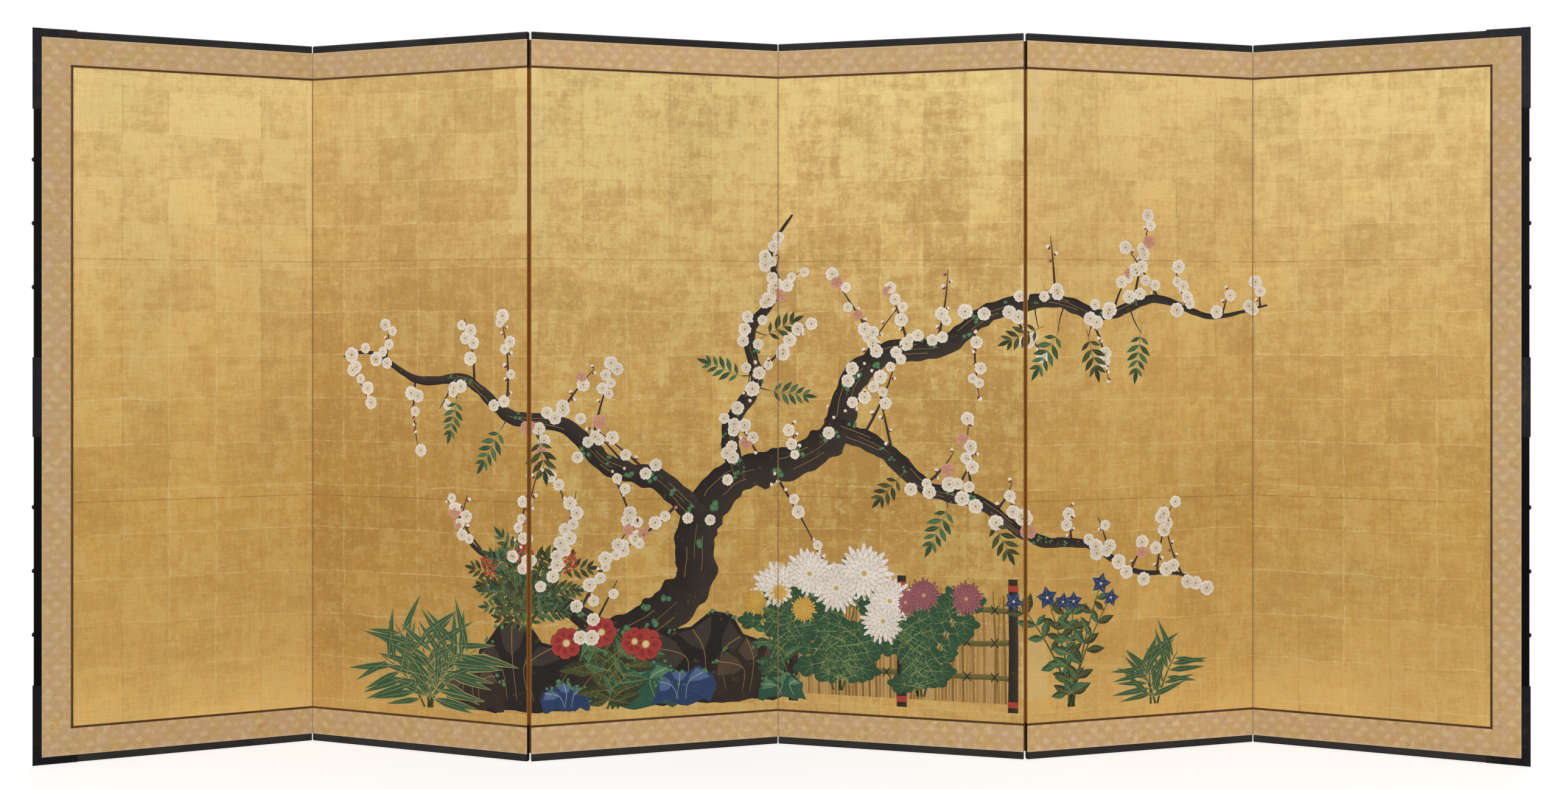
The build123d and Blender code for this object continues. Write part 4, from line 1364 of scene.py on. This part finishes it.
# Shares of the way from the mount's face to the axis at which a strip begins and ends its bend.
BEND_BEGINS = 0.72
BEND_ENDS = 0.93
# Colours beside the brocade, the narrow border and the picture.
TURN_IN_CODES = {"front": ("#bf9870", "#5b3a1d", "#9c7238"), "back": ("#20262b", "#20262b", "#2a231c")}
mount_faces = {"front": 0.0, "back": (place[1].inverted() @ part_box("panel_1_back_paper")[1]).y}


def turn_in_paper(side_name):
    """Paper and silk at a fold: like the brocade, the dark border and the picture by height."""
    mount, put, shader = new_material(f"turned-in mount {side_name}", Roughness=0.8, Specular_IOR_Level=0.2)
    up = put("SeparateXYZ", put("TexCoord").outputs["Object"]).outputs["Z"]
    from_middle = put("Math ABSOLUTE", put("Math SUBTRACT", up, (picture_foot + picture_head) / 2))
    half = (picture_head - picture_foot) / 2
    codes = [colour(code) for code in TURN_IN_CODES[side_name]]
    tone = codes[0]
    for reach, code in ((half + INNER_BORDER, codes[1]), (half, codes[2])):
        inside = put("Math LESS_THAN", from_middle, reach)
        tone = put("Mix", inside, tone, code, data_type="RGBA")
    wear = put("TexNoise", put("CombineXYZ", Z=up), 70.0, 4.0, 0.7)
    shade = put("MapRange", wear, 0.3, 0.7, 0.72, 1.2)
    feed(shader, Base_Color=put("VectorMath SCALE", tone, shade))
    return mount


turn_in = {side_name: turn_in_paper(side_name) for side_name in TURN_IN_CODES}
# Hinge paper deep in a fold: matt and warm, painted lighter than the hinge bands to lift the shade in the
# groove.
groove_paper, put, shader = new_material("hinge paper in the fold", Roughness=0.85, Specular_IOR_Level=0.2)
fibres = put("TexNoise", put("TexCoord").outputs["Object"], 60.0, 6.0, 0.7)
feed(shader, Base_Color=put("Mix", fibres, colour("#b06f1e"), colour("#d0913a"), data_type="RGBA"))
for body, number, axis, edge, way, at_side in panels_at_folds():
    side_name, slot = ("front", "silk_brocade") if axis.y < 0 else ("back", "printed_back_paper")
    face = mount_faces[side_name]
    inward = math.copysign(1, axis.y - face)
    reach = abs(axis.x - edge) - SHORT_OF_THE_AXIS
    top = axis.y - inward * SHORT_OF_THE_AXIS
    foot = face - inward * INTO_THE_MOUNT
    section = [
        (-OVER_THE_EDGE, foot), (-OVER_THE_EDGE, face + BEND_BEGINS * (top - face)),
        (0.2 * reach, face + BEND_ENDS * (top - face)), (reach, top), (reach, foot),
    ]
    section = [place[number] @ Vector((edge + way * off, depth, 0)) for off, depth in section]
    rings = [[(point.x, point.y, z) for point in section] for z in (mount_foot, mount_head)]
    materials = [turn_in[side_name], groove_paper]
    strip = closed_shell(f"{body}_turn_in_{at_side}", rings, body, materials)
    for at in (3, 4):
        strip.data.polygons[at].material_index = 1

# ---------------------------------------------------------------------------------------------
# The back: strong paper dyed blue-black and block-printed in mica with a small figure of four
# petals. The figures stand in staggered rows, 62 mm apart along a row.

PRINT_PITCH = 62.0
PRINT_ROWS = 84.0
PRINT_HEART = 6.0
PRINT_PETAL = 8.5
for number in PANELS:
    # Dyed paper, matt, with a figure whose mica glints a little; the blocks print unevenly.
    printed, put, shader = new_material(f"printed back paper {number}", Specular_IOR_Level=0.3)
    spot = flat_place(put, number)
    figure = put("Group", spot, PRINT_PITCH, PRINT_ROWS, node_tree=figures).outputs
    petals = put("Math ABSOLUTE", put("Math COSINE", put("Math MULTIPLY", figure["Angle"], 2.0)))
    rim = put("Math MULTIPLY_ADD", petals, PRINT_PETAL, PRINT_HEART)
    gap = put("Math SUBTRACT", rim, figure["Distance"])
    vein = put("Math COMPARE", gap, 2.4, 0.6)
    inked = put("Math SUBTRACT", put("MapRange", gap, -0.3, 0.4), vein, use_clamp=True)
    uneven = put("TexNoise", spot, 0.03, 6.0, 0.7)
    mica = put("Math MULTIPLY", inked, put("MapRange", uneven, 0.3, 0.6, 0.15, 0.62))
    dyed = put("Mix", uneven, colour("#26323a"), colour("#34444b"), data_type="RGBA")
    tone = put("Mix", mica, dyed, colour("#8b8f86"), data_type="RGBA")
    feed(shader, Base_Color=tone, Roughness=put("MapRange", mica, 0.0, 1.0, 0.82, 0.45))
    cover(f"panel_{number}_back_paper", printed)

# ---------------------------------------------------------------------------------------------
# The lattice inside each panel: cedar sticks, planed and half-lapped over and under each other.
# The papers hide it, and it is seen only where the screen is taken apart.

# Japanese cedar: pale straw brown with darker growth lines 3 mm apart along the stick.
cedar, put, shader = new_material("planed cedar", Roughness=0.6)
spot = put("TexCoord").outputs["Object"]
grain = put("TexWave", spot, 50.0, 5.0, 3.0, 0.6).outputs["Fac"]
feed(shader, Base_Color=put("Mix", grain, colour("#c9a878"), colour("#b68f5c"), data_type="RGBA"))
for number in PANELS:
    cover(f"panel_{number}_lattice_core", cedar)

# ---------------------------------------------------------------------------------------------
# The box round everything that renders, the floor left out.

low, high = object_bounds()
